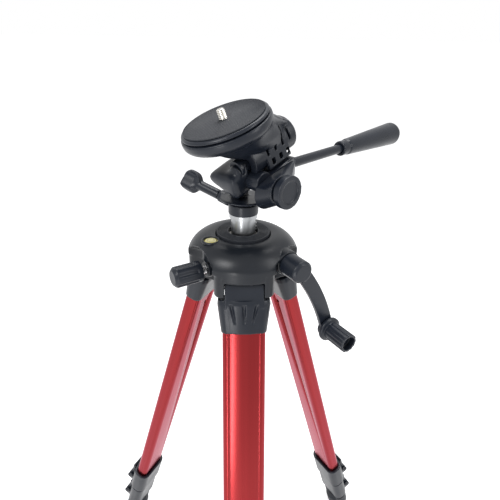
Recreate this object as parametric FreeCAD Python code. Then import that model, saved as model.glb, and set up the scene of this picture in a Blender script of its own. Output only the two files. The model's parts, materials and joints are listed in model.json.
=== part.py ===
import FreeCAD, Part
import math
import os

# Camera and star tracker support: three telescoping legs, a geared centre column raised by a
# crank, and a head that pans, tilts and flips.  Millimetres, +Z up.  The origin lies on the
# floor below the column, and the front leg points along -Y.

Vector = FreeCAD.Vector
X_AXIS = Vector(1, 0, 0)
Y_AXIS = Vector(0, 1, 0)
Z_AXIS = Vector(0, 0, 1)
ORIGIN = Vector(0, 0, 0)

# ---------------------------------------------------------------- clearances
sliding_gap = 0.35            # between telescoping tubes, and between bodies that pass
running_gap = 0.06            # radial play of pins and shafts
rest_gap = 0.3                # between faces of two bodies that nearly touch
far = 600.0                   # past any piece, for the end of a cutting shape

# ---------------------------------------------------------------- legs
leg_azimuth = {"front": -90.0, "right": 30.0, "left": 150.0}
leg_splay = 17.4              # from vertical, at the spread stop
pivot_radius = 33.7           # leg hinge from the column axis
pivot_drop = 33.4             # leg hinge below the top of the crown
upper_tube_width = 35.5
upper_tube_depth = 16.0
tube_wall = 1.2
upper_tube_length = 354.0
tongue_radius = 9.5
tongue_width = 31.4
shoulder_drop = 9.9           # hinge to the fitting's shoulder, along the leg
shoulder_width = 42.6
shoulder_depth = 22.0
fitting_length = 28.3         # shoulder to lower edge
tube_entry = 6.3              # shoulder to the tube's upper end
rivet_hole_radius = 2.0
rivet_hole_drop = 10.0        # below the fitting's lower edge
middle_tube_start = 24.0      # below the upper tube's upper end
lower_tube_start = 20.0       # below the middle tube's upper end
clamp_skin = 3.4
clamp_grip = 22.0             # length held on its own tube
clamp_nose = 12.0             # length that guides the next tube
clamp_spacing = 4.0           # between the two closed clamps
lever_width = 22.0
lever_length = 21.0
lever_thickness = 3.4
lever_boss_radius = 3.6
lever_pin_radius = 1.8
ear_width = 3.2
foot_gap = 6.0                # lower clamp to the foot's upper rim
foot_radius = 13.5
foot_length = 28.0
foot_grip = 18.0
fitting_swell = 1.1           # fuller than the shoulder half way down
lever_ear_radius = 3.4
foot_wall = 3.0
foot_neck = 6.0

# ---------------------------------------------------------------- crown
crown_radius = 47.0
crown_edge_drop = 15.0        # top of the crown to the skirt
crown_skirt = 5.0
dome_mid_radius = 41.0
dome_mid_drop = 5.6
hub_radius = 23.0
hub_depth = 42.5
ring_radius = 22.6
ring_bore = 12.6
ring_thickness = 4.0
ring_rise = 1.5
ring_rib_count = 6
ring_rib_depth = 0.6
lobe_width = 49.0
lobe_corner = 8.0
lobe_depth = 39.6
lobe_lip = 25.8
scoop_distance = 63.0         # hollow between two lobes, its axis from the column
scoop_top_radius = 18.0
scoop_radius = 30.0
scoop_start = 2.0             # below the top of the crown
scoop_full = 13.0             # where the hollow reaches its full radius
lip_thickness = 3.0
pocket_depth = 22.9
leg_pin_radius = 2.5
liner_wall = 2.5
level_azimuth = 210.0
level_radius = 31.0
level_boss_radius = 7.2
vial_radius = 5.8
vial_height = 4.0
ring_seat_gap = 0.4
ring_border = 0.6             # plain ring outside the ribs
ring_inner_border = 1.4
ring_slot_gap = 0.6
level_drop = 0.8              # top of the level's boss below the crown's top
level_boss_root = 3.0
vial_rim = 0.4
vial_dome_root = 0.5
vial_dome_height = 0.8
leg_pin_inset = 3.0           # ends of the pins inside the lobe
hub_relief_length = 40.0

# ---------------------------------------------------------------- column and its drive
column_radius = 10.15
column_wall = 1.5
column_top = 17.6             # above the crown's top
column_length = 300.0
collar_radius = 11.8
collar_height = 3.6
end_cap_radius = 12.4
end_cap_height = 8.0
spigot_length = 12.0
gear_module = 1.0
pinion_teeth = 10
pressure_angle = 25.0
tooth_addendum = 0.8          # in modules
tooth_dedendum = 1.0          # in modules
tooth_share = 0.46            # tooth thickness over pitch
rack_width = 5.0
rack_root = 10.3              # tooth root from the column axis
rack_top_margin = 5.0
pinion_width = 11.0
crank_azimuth = -60.0         # direction of the crank shaft
crank_drop = 15.0             # crank shaft below the crown's top
crank_shaft_radius = 3.0
crank_bush_radius = 7.0
crank_boss_radius = 10.6
crank_boss_reach = 44.0       # along the shaft from the column's middle plane
crank_hub_radius = 9.4
crank_hub_length = 12.2
crank_head_length = 7.0
crank_strap_start = 1.2         # inner face of the arm beyond the hub: clears the leg as it turns
crank_arm_length = 72.5
crank_arm_lean = 27.5         # from straight down
crank_arm_width = 12.5
crank_arm_bow = 3.5
crank_eye_radius = 8.5
crank_knob_radius = 8.4
crank_knob_length = 22.0
crank_flange_radius = 11.0
crank_flange_length = 4.0
crank_spindle_radius = 2.5
lock_azimuth = 210.0
lock_drop = 26.0
lock_boss_radius = 7.0
lock_boss_reach = 37.0
lock_screw_radius = 3.5
lock_thread_gap = 5.0         # bare thread between boss and knob
lock_knob_radius = 8.9
lock_knob_length = 24.5
lock_knob_flutes = 6
lock_pad_length = 4.6
bush_start = 10.0
end_cap_bevel = 1.5
end_cap_plug = 4.0
base_ring_bevel = 0.6
pinion_tail = 1.5
crank_eye_sink = 1.5
spindle_share = 0.8           # of the crank knob's length
crank_knob_wall = 2.2
crank_knob_hollow = 6.0
lock_knob_bevel = 2.5
lock_flute_offset = 1.2
lock_flute_radius = 2.2
lock_flute_start = 4.0
lock_screw_share = 0.6        # of the lock knob's length
lock_pad_gap = 0.2

# ---------------------------------------------------------------- head
pan_angle = -48.0             # head turned about the column
tilt_angle = 21.0             # platform leaning forward
flip_angle = 6.0              # platform leaning to its left
tilt_rise = 48.6              # tilt axis above the crown's top
base_ring_radius = 12.5
base_ring_height = 8.9
pan_post_radius = 5.6
pan_post_height = 3.4
bowl_radius = 20.0
bowl_height = 4.6
yoke_left = -10.0
yoke_right = 0.0
yoke_head_radius = 6.4
yoke_half_depth = 6.0
axle_radius = 2.6
pan_lock_angle = 195.0        # from the head's right-hand axis
pan_lock_rise = 14.0
pan_lock_height = 22.4        # where its line meets the column axis
pan_lock_boss_radius = 5.4
pan_lock_boss_reach = 24.0
pan_lock_screw_radius = 2.6
pan_lock_stem_radius = 4.3
pan_lock_stem_length = 22.0
pan_lock_wing_length = 19.0
pan_lock_wing_width = 20.0
pan_lock_wing_thickness = 6.0
saddle_left = -20.0
saddle_right = 9.8
saddle_front = -19.0
saddle_bottom = -8.5
saddle_top = 10.0
saddle_round = 4.0
trunnion_radius = 8.5
flip_offset = 5.0             # flip axis to the right of the column
flip_rise = 13.0              # flip axis above the tilt axis
flip_shaft_radius = 7.0
flip_shaft_front = -9.0
barrel_radius = 14.5
barrel_offset = 6.8           # barrel axis to the right of the column
barrel_rise = 16.3            # barrel axis above the tilt axis
barrel_bore = 8.5             # open mouth round the shaft
barrel_mouth_length = 11.0
barrel_end_wall = 3.0
barrel_front = -1.4
barrel_length = 49.5
barrel_end_round = 2.5
barrel_end_inset = 2.0
barrel_tail = 4.6             # closed end of the open underside
barrel_open = 8.0             # open underside, below the flip axis
slit_count = 4
slit_width = 2.2
slit_pitch = 8.5
slit_start = 11.8
slit_depth = 3.5
skirt_thickness = 3.0
skirt_drop = 14.3             # below the barrel axis
window_width = 3.4
window_height = 5.0
window_lead = 2.6             # behind its slit
window_base = 5.4             # above the tilt axis
cover_left = 1.0
cover_top = 2.5             # deck under the barrel
cover_radius = 14.3
cover_sag = 8.3               # centre of the rounded side, below the tilt axis
cover_tail_angle = -50.0      # where the round side gives way to the handle's socket
boss_start = 23.0             # where the side starts to narrow, from the column's middle plane
socket_length = 36.0
socket_half_height = 7.5
boss_radius = 11.5
boss_right = 40.0
knob_gap = 0.4
stud_drop = 2.0               # friction knob's axis below the tilt axis
knob_length = 8.5
knob_radius = 12.9
knob_neck_radius = 10.0
handle_offset = 16.0
handle_rise = 6.0
handle_slope = -19.7          # relative to the flip axis
handle_rod_radius = 4.1
handle_grip_start = 106.0
handle_ferrule_radius = 6.8
handle_ferrule_length = 9.0
handle_reach = 202.0
handle_grip_radius = 11.2
handle_rod_start = 26.0
bowl_base_inset = 0.3
bowl_bevel = 1.2
pan_screw_gap = 1.2
stem_share = 0.7              # of the stem's length that the screw fills
wing_sink = 3.0
yoke_gap = 0.5
saddle_side = 4.0             # height of the saddle's left edge
collar_flare = 2.0
collar_lead = 3.0             # in front of the flip shaft's end
collar_drop = 1.0
collar_length = 8.0
axle_inset = 3.0
knob_bore_share = 0.6         # of the friction knob's length
knob_neck_length = 3.0
knob_dish_wall = 4.0
knob_dish_depth = 1.2
grip_rod_depth = 20.0         # of the rod inside the grip

# ---------------------------------------------------------------- platform and plate
pad_rise = 50.8               # pad above the tilt axis
pad_radius = 32.4
pad_thickness = 1.2
plate_radius = 34.8
plate_thickness = 3.2
platform_top_gap = 0.3
bowl_top_radius = 36.0
bowl_depth = 12.5
bowl_bottom_radius = 22.0
bowl_round = 8.0              # height of the rounded side
web_top_radius = 34.4
web_top_drop = 4.0            # below the bowl's rim
key_size = 30.0
key_height = 3.4
key_gap = 0.4
screw_radius = 3.175          # quarter-inch camera screw
screw_height = 7.3            # thread above the pad
screw_neck_radius = 2.7
screw_head_radius = 7.5
screw_head_height = 2.6
tab_angle = 126.0             # from the platform's right-hand axis
tab_width = 9.0
tab_reach = 5.5
tab_height = 4.0
flip_travel = 47.0            # from the resting angle towards the left
tilt_back_travel = 36.0
tilt_forward_travel = 4.0
envelope_gap = 0.8            # platform's clearance over the tilting stage
envelope_tail = 5.0
web_inset = 0.3
screw_well_depth = 3.0
tab_root = 7.0
plate_low_bevel = 1.0
plate_top_bevel = 1.3

# ---------------------------------------------------------------- derived positions
middle_tube_width = upper_tube_width - 2 * (tube_wall + sliding_gap)
middle_tube_depth = upper_tube_depth - 2 * (tube_wall + sliding_gap)
lower_tube_width = middle_tube_width - 2 * (tube_wall + sliding_gap)
lower_tube_depth = middle_tube_depth - 2 * (tube_wall + sliding_gap)
upper_tube_top = shoulder_drop + tube_entry
upper_tube_end = upper_tube_top + upper_tube_length
upper_clamp_top = upper_tube_end - clamp_grip
upper_clamp_end = upper_tube_end + clamp_nose
lower_clamp_top = upper_clamp_end + clamp_spacing
middle_tube_top = upper_tube_top + middle_tube_start
middle_tube_end = lower_clamp_top + clamp_grip
lower_clamp_end = middle_tube_end + clamp_nose
lower_tube_top = middle_tube_top + lower_tube_start
foot_top = lower_clamp_end + foot_gap
lower_tube_end = foot_top + foot_grip
leg_reach = foot_top + foot_length
pivot_height = leg_reach * math.cos(math.radians(leg_splay))
crown_top = pivot_height + pivot_drop
liner_radius = column_radius + sliding_gap
liner_outer = liner_radius + liner_wall
pinion_pitch_radius = gear_module * pinion_teeth / 2.0
rack_pitch_line = rack_root + tooth_dedendum * gear_module
crank_offset = rack_pitch_line + pinion_pitch_radius
rack_tip = rack_pitch_line + tooth_addendum * gear_module
collar_base = column_top - collar_height
bowl_base = column_top + base_ring_height + rest_gap
tilt_height = crown_top + tilt_rise
bowl_top_rise = pad_rise - pad_thickness - plate_thickness - platform_top_gap


# ---------------------------------------------------------------- helpers
def box(x0, x1, y0, y1, z0, z1):
    return Part.makeBox(x1 - x0, y1 - y0, z1 - z0, Vector(x0, y0, z0))


def rod(radius, start, direction, length):
    return Part.makeCylinder(radius, length, start, direction)


def upright(radius, z0, z1, x=0.0, y=0.0):
    return rod(radius, Vector(x, y, z0), Z_AXIS, z1 - z0)


def pipe(outer, inner, z0, z1):
    return upright(outer, z0, z1).cut(upright(inner, z0 - 1, z1 + 1))


def across(radius, x0, x1, y=0.0, z=0.0):
    return rod(radius, Vector(x0, y, z), X_AXIS, x1 - x0)


def joined(shapes):
    body = shapes[0]
    for other in shapes[1:]:
        body = body.fuse(other)
    return body.removeSplitter()


def turned(shape, centre, axis, angle):
    copy = shape.copy()
    copy.rotate(centre, axis, angle)
    return copy


def moved(shape, offset):
    copy = shape.copy()
    copy.translate(offset)
    return copy


def lathe(points):
    """Solid of revolution about Z from a closed outline of (radius, height) points."""
    outline = [Vector(r, 0, z) for r, z in points]
    outline.append(outline[0])
    return Part.Face(Part.makePolygon(outline)).revolve(ORIGIN, Z_AXIS, 360)


def prism(points, normal_length):
    """Closed outline of (x, y) points at z = 0, drawn out along +Z."""
    outline = [Vector(x, y, 0) for x, y in points]
    outline.append(outline[0])
    return Part.Face(Part.makePolygon(outline)).extrude(Vector(0, 0, normal_length))


def along(shape, azimuth, offset, height, reach=0.0):
    """Place a shape built about +Z so that +Z points outward, level, at the given azimuth."""
    copy = turned(shape, ORIGIN, Y_AXIS, 90)
    copy.translate(Vector(reach, offset, height))
    copy.rotate(ORIGIN, Z_AXIS, azimuth)
    return copy


def save(name, shape):
    shape.exportStep("parts/" + name + ".step")


# ---------------------------------------------------------------- leg pieces
def section_wire(width, depth, z, grow=0.0):
    """Leg tube outline: flat inner face, rounded corners and a bowed outer face."""
    half = width / 2.0 + grow
    inner = -depth / 2.0 - grow
    outer = depth / 2.0 + grow
    bow = 0.1 * depth
    corner = 0.32 * depth + grow
    diagonal = corner * math.sqrt(0.5)
    shoulder = outer - bow

    def at(x, y):
        return Vector(x, y, z)

    low_right = at(half - corner + diagonal, inner + corner - diagonal)
    low_left = at(corner - half - diagonal, inner + corner - diagonal)
    high_right = at(half - corner + diagonal, shoulder - corner + diagonal)
    high_left = at(corner - half - diagonal, shoulder - corner + diagonal)
    edges = [
        Part.makeLine(at(corner - half, inner), at(half - corner, inner)),
        Part.Arc(at(half - corner, inner), low_right, at(half, inner + corner)).toShape(),
        Part.makeLine(at(half, inner + corner), at(half, shoulder - corner)),
        Part.Arc(at(half, shoulder - corner), high_right, at(half - corner, shoulder)).toShape(),
        Part.Arc(at(half - corner, shoulder), at(0, outer), at(corner - half, shoulder)).toShape(),
        Part.Arc(at(corner - half, shoulder), high_left, at(-half, shoulder - corner)).toShape(),
        Part.makeLine(at(-half, shoulder - corner), at(-half, inner + corner)),
        Part.Arc(at(-half, inner + corner), low_left, at(corner - half, inner)).toShape(),
    ]
    return Part.Wire(edges)


def section_solid(width, depth, top, bottom, grow=0.0):
    """Prism of the leg section between two distances below the hinge."""
    face = Part.Face(section_wire(width, depth, -bottom, grow))
    return face.extrude(Vector(0, 0, bottom - top))


def leg_tube(width, depth, top, bottom):
    outer = section_solid(width, depth, top, bottom)
    return outer.cut(section_solid(width, depth, top - 1, bottom + 1, -tube_wall))


def leg_fitting():
    half = tongue_width / 2.0
    eye = across(tongue_radius, -half, half)
    neck = box(-half, half, -tongue_radius, tongue_radius, -shoulder_drop - tube_entry, 0)
    bulge = 0.14 * fitting_length
    wires = [
        section_wire(shoulder_width, shoulder_depth, -shoulder_drop),
        section_wire(shoulder_width + fitting_swell, shoulder_depth + fitting_swell, -shoulder_drop - bulge),
        section_wire(upper_tube_width, upper_tube_depth, -shoulder_drop - fitting_length, 1.0),
    ]
    skirt = Part.makeLoft(wires, True, True)
    body = joined([eye, neck, skirt])
    bottom = shoulder_drop + fitting_length + 1
    body = body.cut(section_solid(upper_tube_width, upper_tube_depth, upper_tube_top, bottom))
    return body.cut(across(leg_pin_radius + running_gap, -half - 1, half + 1))


def upper_tube():
    tube = leg_tube(upper_tube_width, upper_tube_depth, upper_tube_top, upper_tube_end)
    hole_z = -(shoulder_drop + fitting_length + rivet_hole_drop)
    return tube.cut(rod(rivet_hole_radius, Vector(0, -upper_tube_depth, hole_z), Y_AXIS, upper_tube_depth))


def lever_pin_place(depth, top):
    """Distance of the lever pin from the leg axis, and below the hinge."""
    out = depth / 2.0 + clamp_skin + lever_boss_radius + rest_gap
    return out, top + clamp_grip + clamp_nose - 2 * lever_boss_radius


def leg_clamp(width, depth, top):
    grip_end = top + clamp_grip
    bottom = grip_end + clamp_nose
    body = section_solid(width, depth, top, bottom, clamp_skin)
    body = body.cut(section_solid(width, depth, top - 1, grip_end))
    body = body.cut(section_solid(width, depth, grip_end - 1, bottom + 1, -tube_wall))
    out, drop = lever_pin_place(depth, top)
    ears = []
    for side in (-1, 1):
        inner = lever_width / 2.0 + rest_gap
        low = min(side * inner, side * (inner + ear_width))
        block = box(low, low + ear_width, depth / 2.0 + 0.5, out, -drop - lever_ear_radius,
                    -drop + lever_ear_radius)
        ear = block.fuse(across(lever_ear_radius, low, low + ear_width, out, -drop))
        ears.append(ear.cut(section_solid(width, depth, top, bottom, clamp_skin / 2.0)))
    body = joined([body] + ears)
    return body.cut(across(lever_pin_radius + running_gap, -width, width, out, -drop))


def clamp_lever(depth, top):
    out, drop = lever_pin_place(depth, top)
    half = lever_width / 2.0
    boss = across(lever_boss_radius, -half, half, out, -drop)
    plate_in = out - lever_boss_radius + rest_gap
    plate = box(-half, half, plate_in, plate_in + lever_thickness, -drop, lever_length - drop)
    lip = across(lever_thickness / 2.0, -half, half, plate_in + lever_thickness / 2.0, lever_length - drop)
    reach = half + rest_gap + ear_width
    pin = across(lever_pin_radius, -reach, reach, out, -drop)
    return joined([boss, plate, lip, pin])


def leg_foot():
    collar = section_solid(lower_tube_width, lower_tube_depth, foot_top, foot_top + foot_grip, foot_wall)
    ball = upright(foot_radius, -leg_reach - foot_radius, -foot_top - 0.5 * foot_grip)
    neck = Part.makeCone(foot_radius, lower_tube_depth, foot_neck, Vector(0, 0, -foot_top - 0.5 * foot_grip))
    body = joined([ball, neck, collar])
    return body.cut(section_solid(lower_tube_width, lower_tube_depth, foot_top - 1, lower_tube_end))


def place_leg(shape, azimuth):
    """From leg coordinates (hinge at the origin, x along the pin, y outward) to the model."""
    copy = turned(shape, ORIGIN, X_AXIS, leg_splay)
    copy.translate(Vector(0, pivot_radius, pivot_height))
    copy.rotate(ORIGIN, Z_AXIS, azimuth - 90.0)
    return copy


def build_legs():
    below_floor = box(-far, far, -far, far, -far, 0)
    for name, azimuth in leg_azimuth.items():
        pieces = {
            "fitting": leg_fitting(),
            "upper_tube": upper_tube(),
            "upper_clamp": leg_clamp(upper_tube_width, upper_tube_depth, upper_clamp_top),
            "upper_lever": clamp_lever(upper_tube_depth, upper_clamp_top),
            "middle_tube": leg_tube(middle_tube_width, middle_tube_depth, middle_tube_top, middle_tube_end),
            "lower_clamp": leg_clamp(middle_tube_width, middle_tube_depth, lower_clamp_top),
            "lower_lever": clamp_lever(middle_tube_depth, lower_clamp_top),
            "lower_tube": leg_tube(lower_tube_width, lower_tube_depth, lower_tube_top, lower_tube_end),
            "foot": leg_foot(),
        }
        for piece, shape in pieces.items():
            placed = place_leg(shape, azimuth)
            if piece == "foot":
                placed = placed.cut(below_floor)
            save(name + "_leg_" + piece, placed)


# ---------------------------------------------------------------- crown pieces
def raised(shape):
    """From coordinates measured from the crown's top to the model."""
    return moved(shape, Vector(0, 0, crown_top))


def crown_dome():
    inner = liner_outer
    seat = ring_rise - ring_thickness
    top_edge = Vector(ring_radius + ring_seat_gap, 0, -ring_seat_gap)
    mid = Vector(dome_mid_radius, 0, -dome_mid_drop)
    rim = Vector(crown_radius, 0, -crown_edge_drop)
    skirt = Vector(crown_radius, 0, -crown_edge_drop - crown_skirt)
    under = Vector(hub_radius, 0, -crown_edge_drop - crown_skirt - 2)
    hub = Vector(hub_radius, 0, -hub_depth)
    bore = Vector(inner, 0, -hub_depth)
    seat_in = Vector(inner, 0, seat)
    seat_out = Vector(ring_radius + ring_seat_gap, 0, seat)
    edges = [
        Part.makeLine(seat_out, top_edge),
        Part.Arc(top_edge, mid, rim).toShape(),
        Part.makeLine(rim, skirt),
        Part.makeLine(skirt, under),
        Part.makeLine(under, hub),
        Part.makeLine(hub, bore),
        Part.makeLine(bore, seat_in),
        Part.makeLine(seat_in, seat_out),
    ]
    return Part.Face(Part.Wire(edges)).revolve(ORIGIN, Z_AXIS, 360)


def crown_lobe():
    """Lobe over one leg, drawn towards +Y."""
    half = lobe_width / 2.0
    inset = half - lobe_corner
    corner_y = math.sqrt((crown_radius - lobe_corner) ** 2 - inset ** 2)
    top = -crown_edge_drop - 1
    body = box(-half, half, hub_radius * 0.5, corner_y, -lobe_depth, top)
    nose = box(-inset, inset, corner_y - 1, crown_radius + 1, -lobe_depth, top)
    corners = [upright(lobe_corner, -lobe_depth, top, side * inset, corner_y) for side in (-1, 1)]
    body = joined([body, nose] + corners)
    return body.common(upright(crown_radius, -lobe_depth, top))


def crown_scoop():
    """Hollow between two lobes, drawn towards +X: it opens out below the dome."""
    foot = Vector(scoop_distance, 0, -scoop_full)
    opening = Part.makeCone(scoop_radius, scoop_top_radius, scoop_full - scoop_start, foot, Z_AXIS)
    return opening.fuse(upright(scoop_radius, -hub_depth - 1, -scoop_full, scoop_distance, 0))


def leg_pocket():
    half = tongue_width / 2.0 + rest_gap
    lip_start = crown_radius - lip_thickness
    deep = box(-half, half, hub_radius, lip_start, -far, -pocket_depth)
    mouth = box(-half, half, lip_start - 1, far, -far, -lobe_lip)
    return deep.fuse(mouth)


def crank_hole():
    main = along(upright(crank_bush_radius, 0, crank_boss_reach + pinion_width), crank_azimuth,
                 crank_offset, -crank_drop, -pinion_width / 2.0 - 1)
    tail = along(upright(crank_shaft_radius + running_gap, 0, pinion_width), crank_azimuth,
                 crank_offset, -crank_drop, -pinion_width - pinion_tail - 1)
    return main.fuse(tail)


def crown_casting():
    body = crown_dome()
    bore = upright(liner_outer, -hub_depth - 1, far)
    lobes = [turned(crown_lobe(), ORIGIN, Z_AXIS, a - 90) for a in leg_azimuth.values()]
    crank_boss = along(upright(crank_boss_radius, 0, crank_boss_reach), crank_azimuth, crank_offset,
                       -crank_drop)
    lock_boss = along(upright(lock_boss_radius, 0, lock_boss_reach), lock_azimuth, 0, -lock_drop)
    level_x = level_radius * math.cos(math.radians(level_azimuth))
    level_y = level_radius * math.sin(math.radians(level_azimuth))
    level_boss = upright(level_boss_radius, -crown_edge_drop - level_boss_root, -level_drop, level_x, level_y)
    body = joined([body] + lobes)
    for azimuth in leg_azimuth.values():
        body = body.cut(turned(crown_scoop(), ORIGIN, Z_AXIS, azimuth + 60))
    body = joined([body, crank_boss, lock_boss, level_boss])
    body = body.cut(bore)
    pin_half = lobe_width / 2.0 - leg_pin_inset
    for azimuth in leg_azimuth.values():
        body = body.cut(turned(leg_pocket(), ORIGIN, Z_AXIS, azimuth - 90))
        hole = across(leg_pin_radius, -pin_half, pin_half, pivot_radius, -pivot_drop)
        body = body.cut(turned(hole, ORIGIN, Z_AXIS, azimuth - 90))
    hub_relief = along(upright(crank_boss_radius + rest_gap, 0, hub_relief_length), crank_azimuth,
                       crank_offset, -crank_drop,
                       crank_boss_reach)
    body = body.cut(crank_hole()).cut(hub_relief)
    body = body.cut(along(upright(lock_screw_radius + running_gap, 0, far), lock_azimuth, 0, -lock_drop))
    return body.cut(upright(vial_radius, -level_drop - vial_height, far, level_x, level_y))


def crown_ring():
    bottom = ring_rise - ring_thickness
    body = pipe(ring_radius, ring_bore, bottom, ring_rise)
    pitch = (ring_radius - ring_bore - ring_border - ring_inner_border) / ring_rib_count
    for i in range(ring_rib_count):
        inner = ring_bore + ring_inner_border + i * pitch
        groove = pipe(inner + pitch / 2.0, inner, ring_rise - ring_rib_depth, ring_rise + 1)
        body = body.cut(groove)
    slot = box(0, rack_tip + 2 * ring_slot_gap, -rack_width / 2.0 - ring_slot_gap,
               rack_width / 2.0 + ring_slot_gap, bottom - 1, ring_rise + 1)
    return body.cut(turned(slot, ORIGIN, Z_AXIS, crank_azimuth + 90))


def level_vial():
    level_x = level_radius * math.cos(math.radians(level_azimuth))
    level_y = level_radius * math.sin(math.radians(level_azimuth))
    base = -level_drop - vial_height
    body = upright(vial_radius, base, base + vial_height - vial_dome_root, level_x, level_y)
    dome = Part.makeCone(vial_radius - vial_rim, vial_radius - 4 * vial_rim, vial_dome_height,
                         Vector(level_x, level_y, base + vial_height - vial_dome_root))
    return body.fuse(dome).removeSplitter()


def leg_pins():
    half = lobe_width / 2.0 - leg_pin_inset
    pins = []
    for azimuth in leg_azimuth.values():
        pin = across(leg_pin_radius, -half, half, pivot_radius, -pivot_drop)
        pins.append(turned(pin, ORIGIN, Z_AXIS, azimuth - 90))
    return Part.makeCompound(pins)


def column_liner():
    body = pipe(liner_outer, liner_radius, -hub_depth, ring_rise - ring_thickness)
    slot = box(0, rack_tip + sliding_gap, -rack_width / 2.0 - sliding_gap, rack_width / 2.0 + sliding_gap,
               -hub_depth - 1, far)
    body = body.cut(turned(slot, ORIGIN, Z_AXIS, crank_azimuth + 90))
    body = body.cut(crank_hole())
    return body.cut(along(upright(lock_screw_radius + running_gap, 0, far), lock_azimuth, 0, -lock_drop))


def crank_bush():
    start = bush_start
    sleeve = pipe(crank_bush_radius, crank_shaft_radius + running_gap, 0, crank_boss_reach - start)
    return along(sleeve, crank_azimuth, crank_offset, -crank_drop, start)


def lock_pad():
    pad = upright(lock_screw_radius, 0, lock_pad_length)
    return along(pad, lock_azimuth, 0, -lock_drop, column_radius + rest_gap)


def build_crown():
    save("crown_casting", raised(crown_casting()))
    save("crown_rubber_ring", raised(crown_ring()))
    save("bubble_level_vial", raised(level_vial()))
    save("leg_hinge_pins", raised(leg_pins()))
    save("column_guide_liner", raised(column_liner()))
    save("crank_shaft_bush", raised(crank_bush()))
    save("column_lock_pad", raised(lock_pad()))


# ---------------------------------------------------------------- column pieces
def column_rack():
    """Toothed strip let into the tube's side, facing +X before it is turned."""
    pitch = math.pi * gear_module
    flank = math.tan(math.radians(pressure_angle))
    half = tooth_share * pitch / 2.0
    tip_half = half - tooth_addendum * gear_module * flank
    root_half = half + tooth_dedendum * gear_module * flank
    length = column_length - 2 * rack_top_margin
    top = column_top - collar_height - rack_top_margin
    bottom = top - length
    centre = -crank_drop
    first = math.ceil((bottom + root_half - centre) / pitch)
    last = math.floor((top - root_half - centre) / pitch)
    outline = [(column_radius - column_wall, bottom), (rack_root, bottom)]
    for i in range(first, last + 1):
        z = centre + i * pitch
        outline.append((rack_root, z - root_half))
        outline.append((rack_tip, z - tip_half))
        outline.append((rack_tip, z + tip_half))
        outline.append((rack_root, z + root_half))
    outline.append((rack_root, top))
    outline.append((column_radius - column_wall, top))
    points = [Vector(r, -rack_width / 2.0, z) for r, z in outline]
    points.append(points[0])
    strip = Part.Face(Part.makePolygon(points)).extrude(Vector(0, rack_width, 0))
    return turned(strip, ORIGIN, Z_AXIS, crank_azimuth + 90)


def column_tube():
    bottom = column_top - column_length
    body = pipe(column_radius, column_radius - column_wall, bottom, column_top)
    length = column_length - 2 * rack_top_margin
    top = column_top - collar_height - rack_top_margin
    slot = box(0, far, -rack_width / 2.0, rack_width / 2.0, top - length, top)
    return body.cut(turned(slot, ORIGIN, Z_AXIS, crank_azimuth + 90))


def column_end_cap():
    bottom = column_top - column_length
    inner = column_radius - column_wall
    return lathe([(0, bottom - end_cap_height), (end_cap_radius - end_cap_bevel, bottom - end_cap_height),
                  (end_cap_radius, bottom - end_cap_height + end_cap_bevel), (end_cap_radius, bottom),
                  (inner, bottom), (inner, bottom + end_cap_plug), (0, bottom + end_cap_plug)])


def head_base():
    inner = column_radius - column_wall
    top = column_top + base_ring_height
    return lathe([(0, column_top - spigot_length), (inner, column_top - spigot_length), (inner, column_top),
                  (base_ring_radius, column_top), (base_ring_radius, top - base_ring_bevel),
                  (base_ring_radius - base_ring_bevel, top),
                  (pan_post_radius, top), (pan_post_radius, top + pan_post_height),
                  (0, top + pan_post_height)])


def build_column():
    save("column_tube", raised(column_tube()))
    save("column_rack", raised(column_rack()))
    save("column_collar", raised(pipe(collar_radius, column_radius, collar_base, column_top)))
    save("column_end_cap", raised(column_end_cap()))
    save("head_base_ring", raised(head_base()))


# ---------------------------------------------------------------- crank pieces
def involute_point(base, turn, phase):
    """Point on an involute of the base circle, unwound by turn and rotated by phase."""
    x = base * (math.cos(turn) + turn * math.sin(turn))
    y = base * (math.sin(turn) - turn * math.cos(turn))
    c = math.cos(phase)
    s = math.sin(phase)
    return (x * c - y * s, x * s + y * c)


def pinion_outline():
    """Closed outline of the pinion, with a gap centred on its +X side."""
    pitch_radius = pinion_pitch_radius
    base = pitch_radius * math.cos(math.radians(pressure_angle))
    tip = pitch_radius + tooth_addendum * gear_module
    root = pitch_radius - tooth_dedendum * gear_module
    alpha = math.radians(pressure_angle)
    roll_off = math.tan(alpha) - alpha
    half_tooth = tooth_share * math.pi / pinion_teeth
    turn_tip = math.sqrt((tip / base) ** 2 - 1)
    steps = 5
    points = []
    for tooth in range(pinion_teeth):
        centre = (tooth + 0.5) * 2 * math.pi / pinion_teeth
        start = centre - half_tooth - roll_off
        points.append((root * math.cos(start), root * math.sin(start)))
        for i in range(steps + 1):
            points.append(involute_point(base, turn_tip * i / steps, start))
        finish = centre + half_tooth + roll_off
        for i in range(steps, -1, -1):
            x, y = involute_point(base, turn_tip * i / steps, 0)
            c = math.cos(finish)
            s = math.sin(finish)
            points.append((x * c + y * s, x * s - y * c))
        points.append((root * math.cos(finish), root * math.sin(finish)))
    return points


def pinion_shaft():
    """Pinion and shaft about +Z, with the tooth gap towards the column."""
    gear = moved(prism(pinion_outline(), pinion_width), Vector(0, 0, -pinion_width / 2.0))
    gear = turned(gear, ORIGIN, Z_AXIS, -90)
    tail = -pinion_width - pinion_tail
    end = crank_boss_reach + crank_hub_length - 2
    return gear.fuse(upright(crank_shaft_radius, tail, end)).removeSplitter()


def crank_eye_offset():
    """Knob centre from the shaft, in the arm's plane: along the shaft's left side and up."""
    lean = math.radians(crank_arm_lean)
    return crank_arm_length * math.sin(lean), -crank_arm_length * math.cos(lean)


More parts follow.
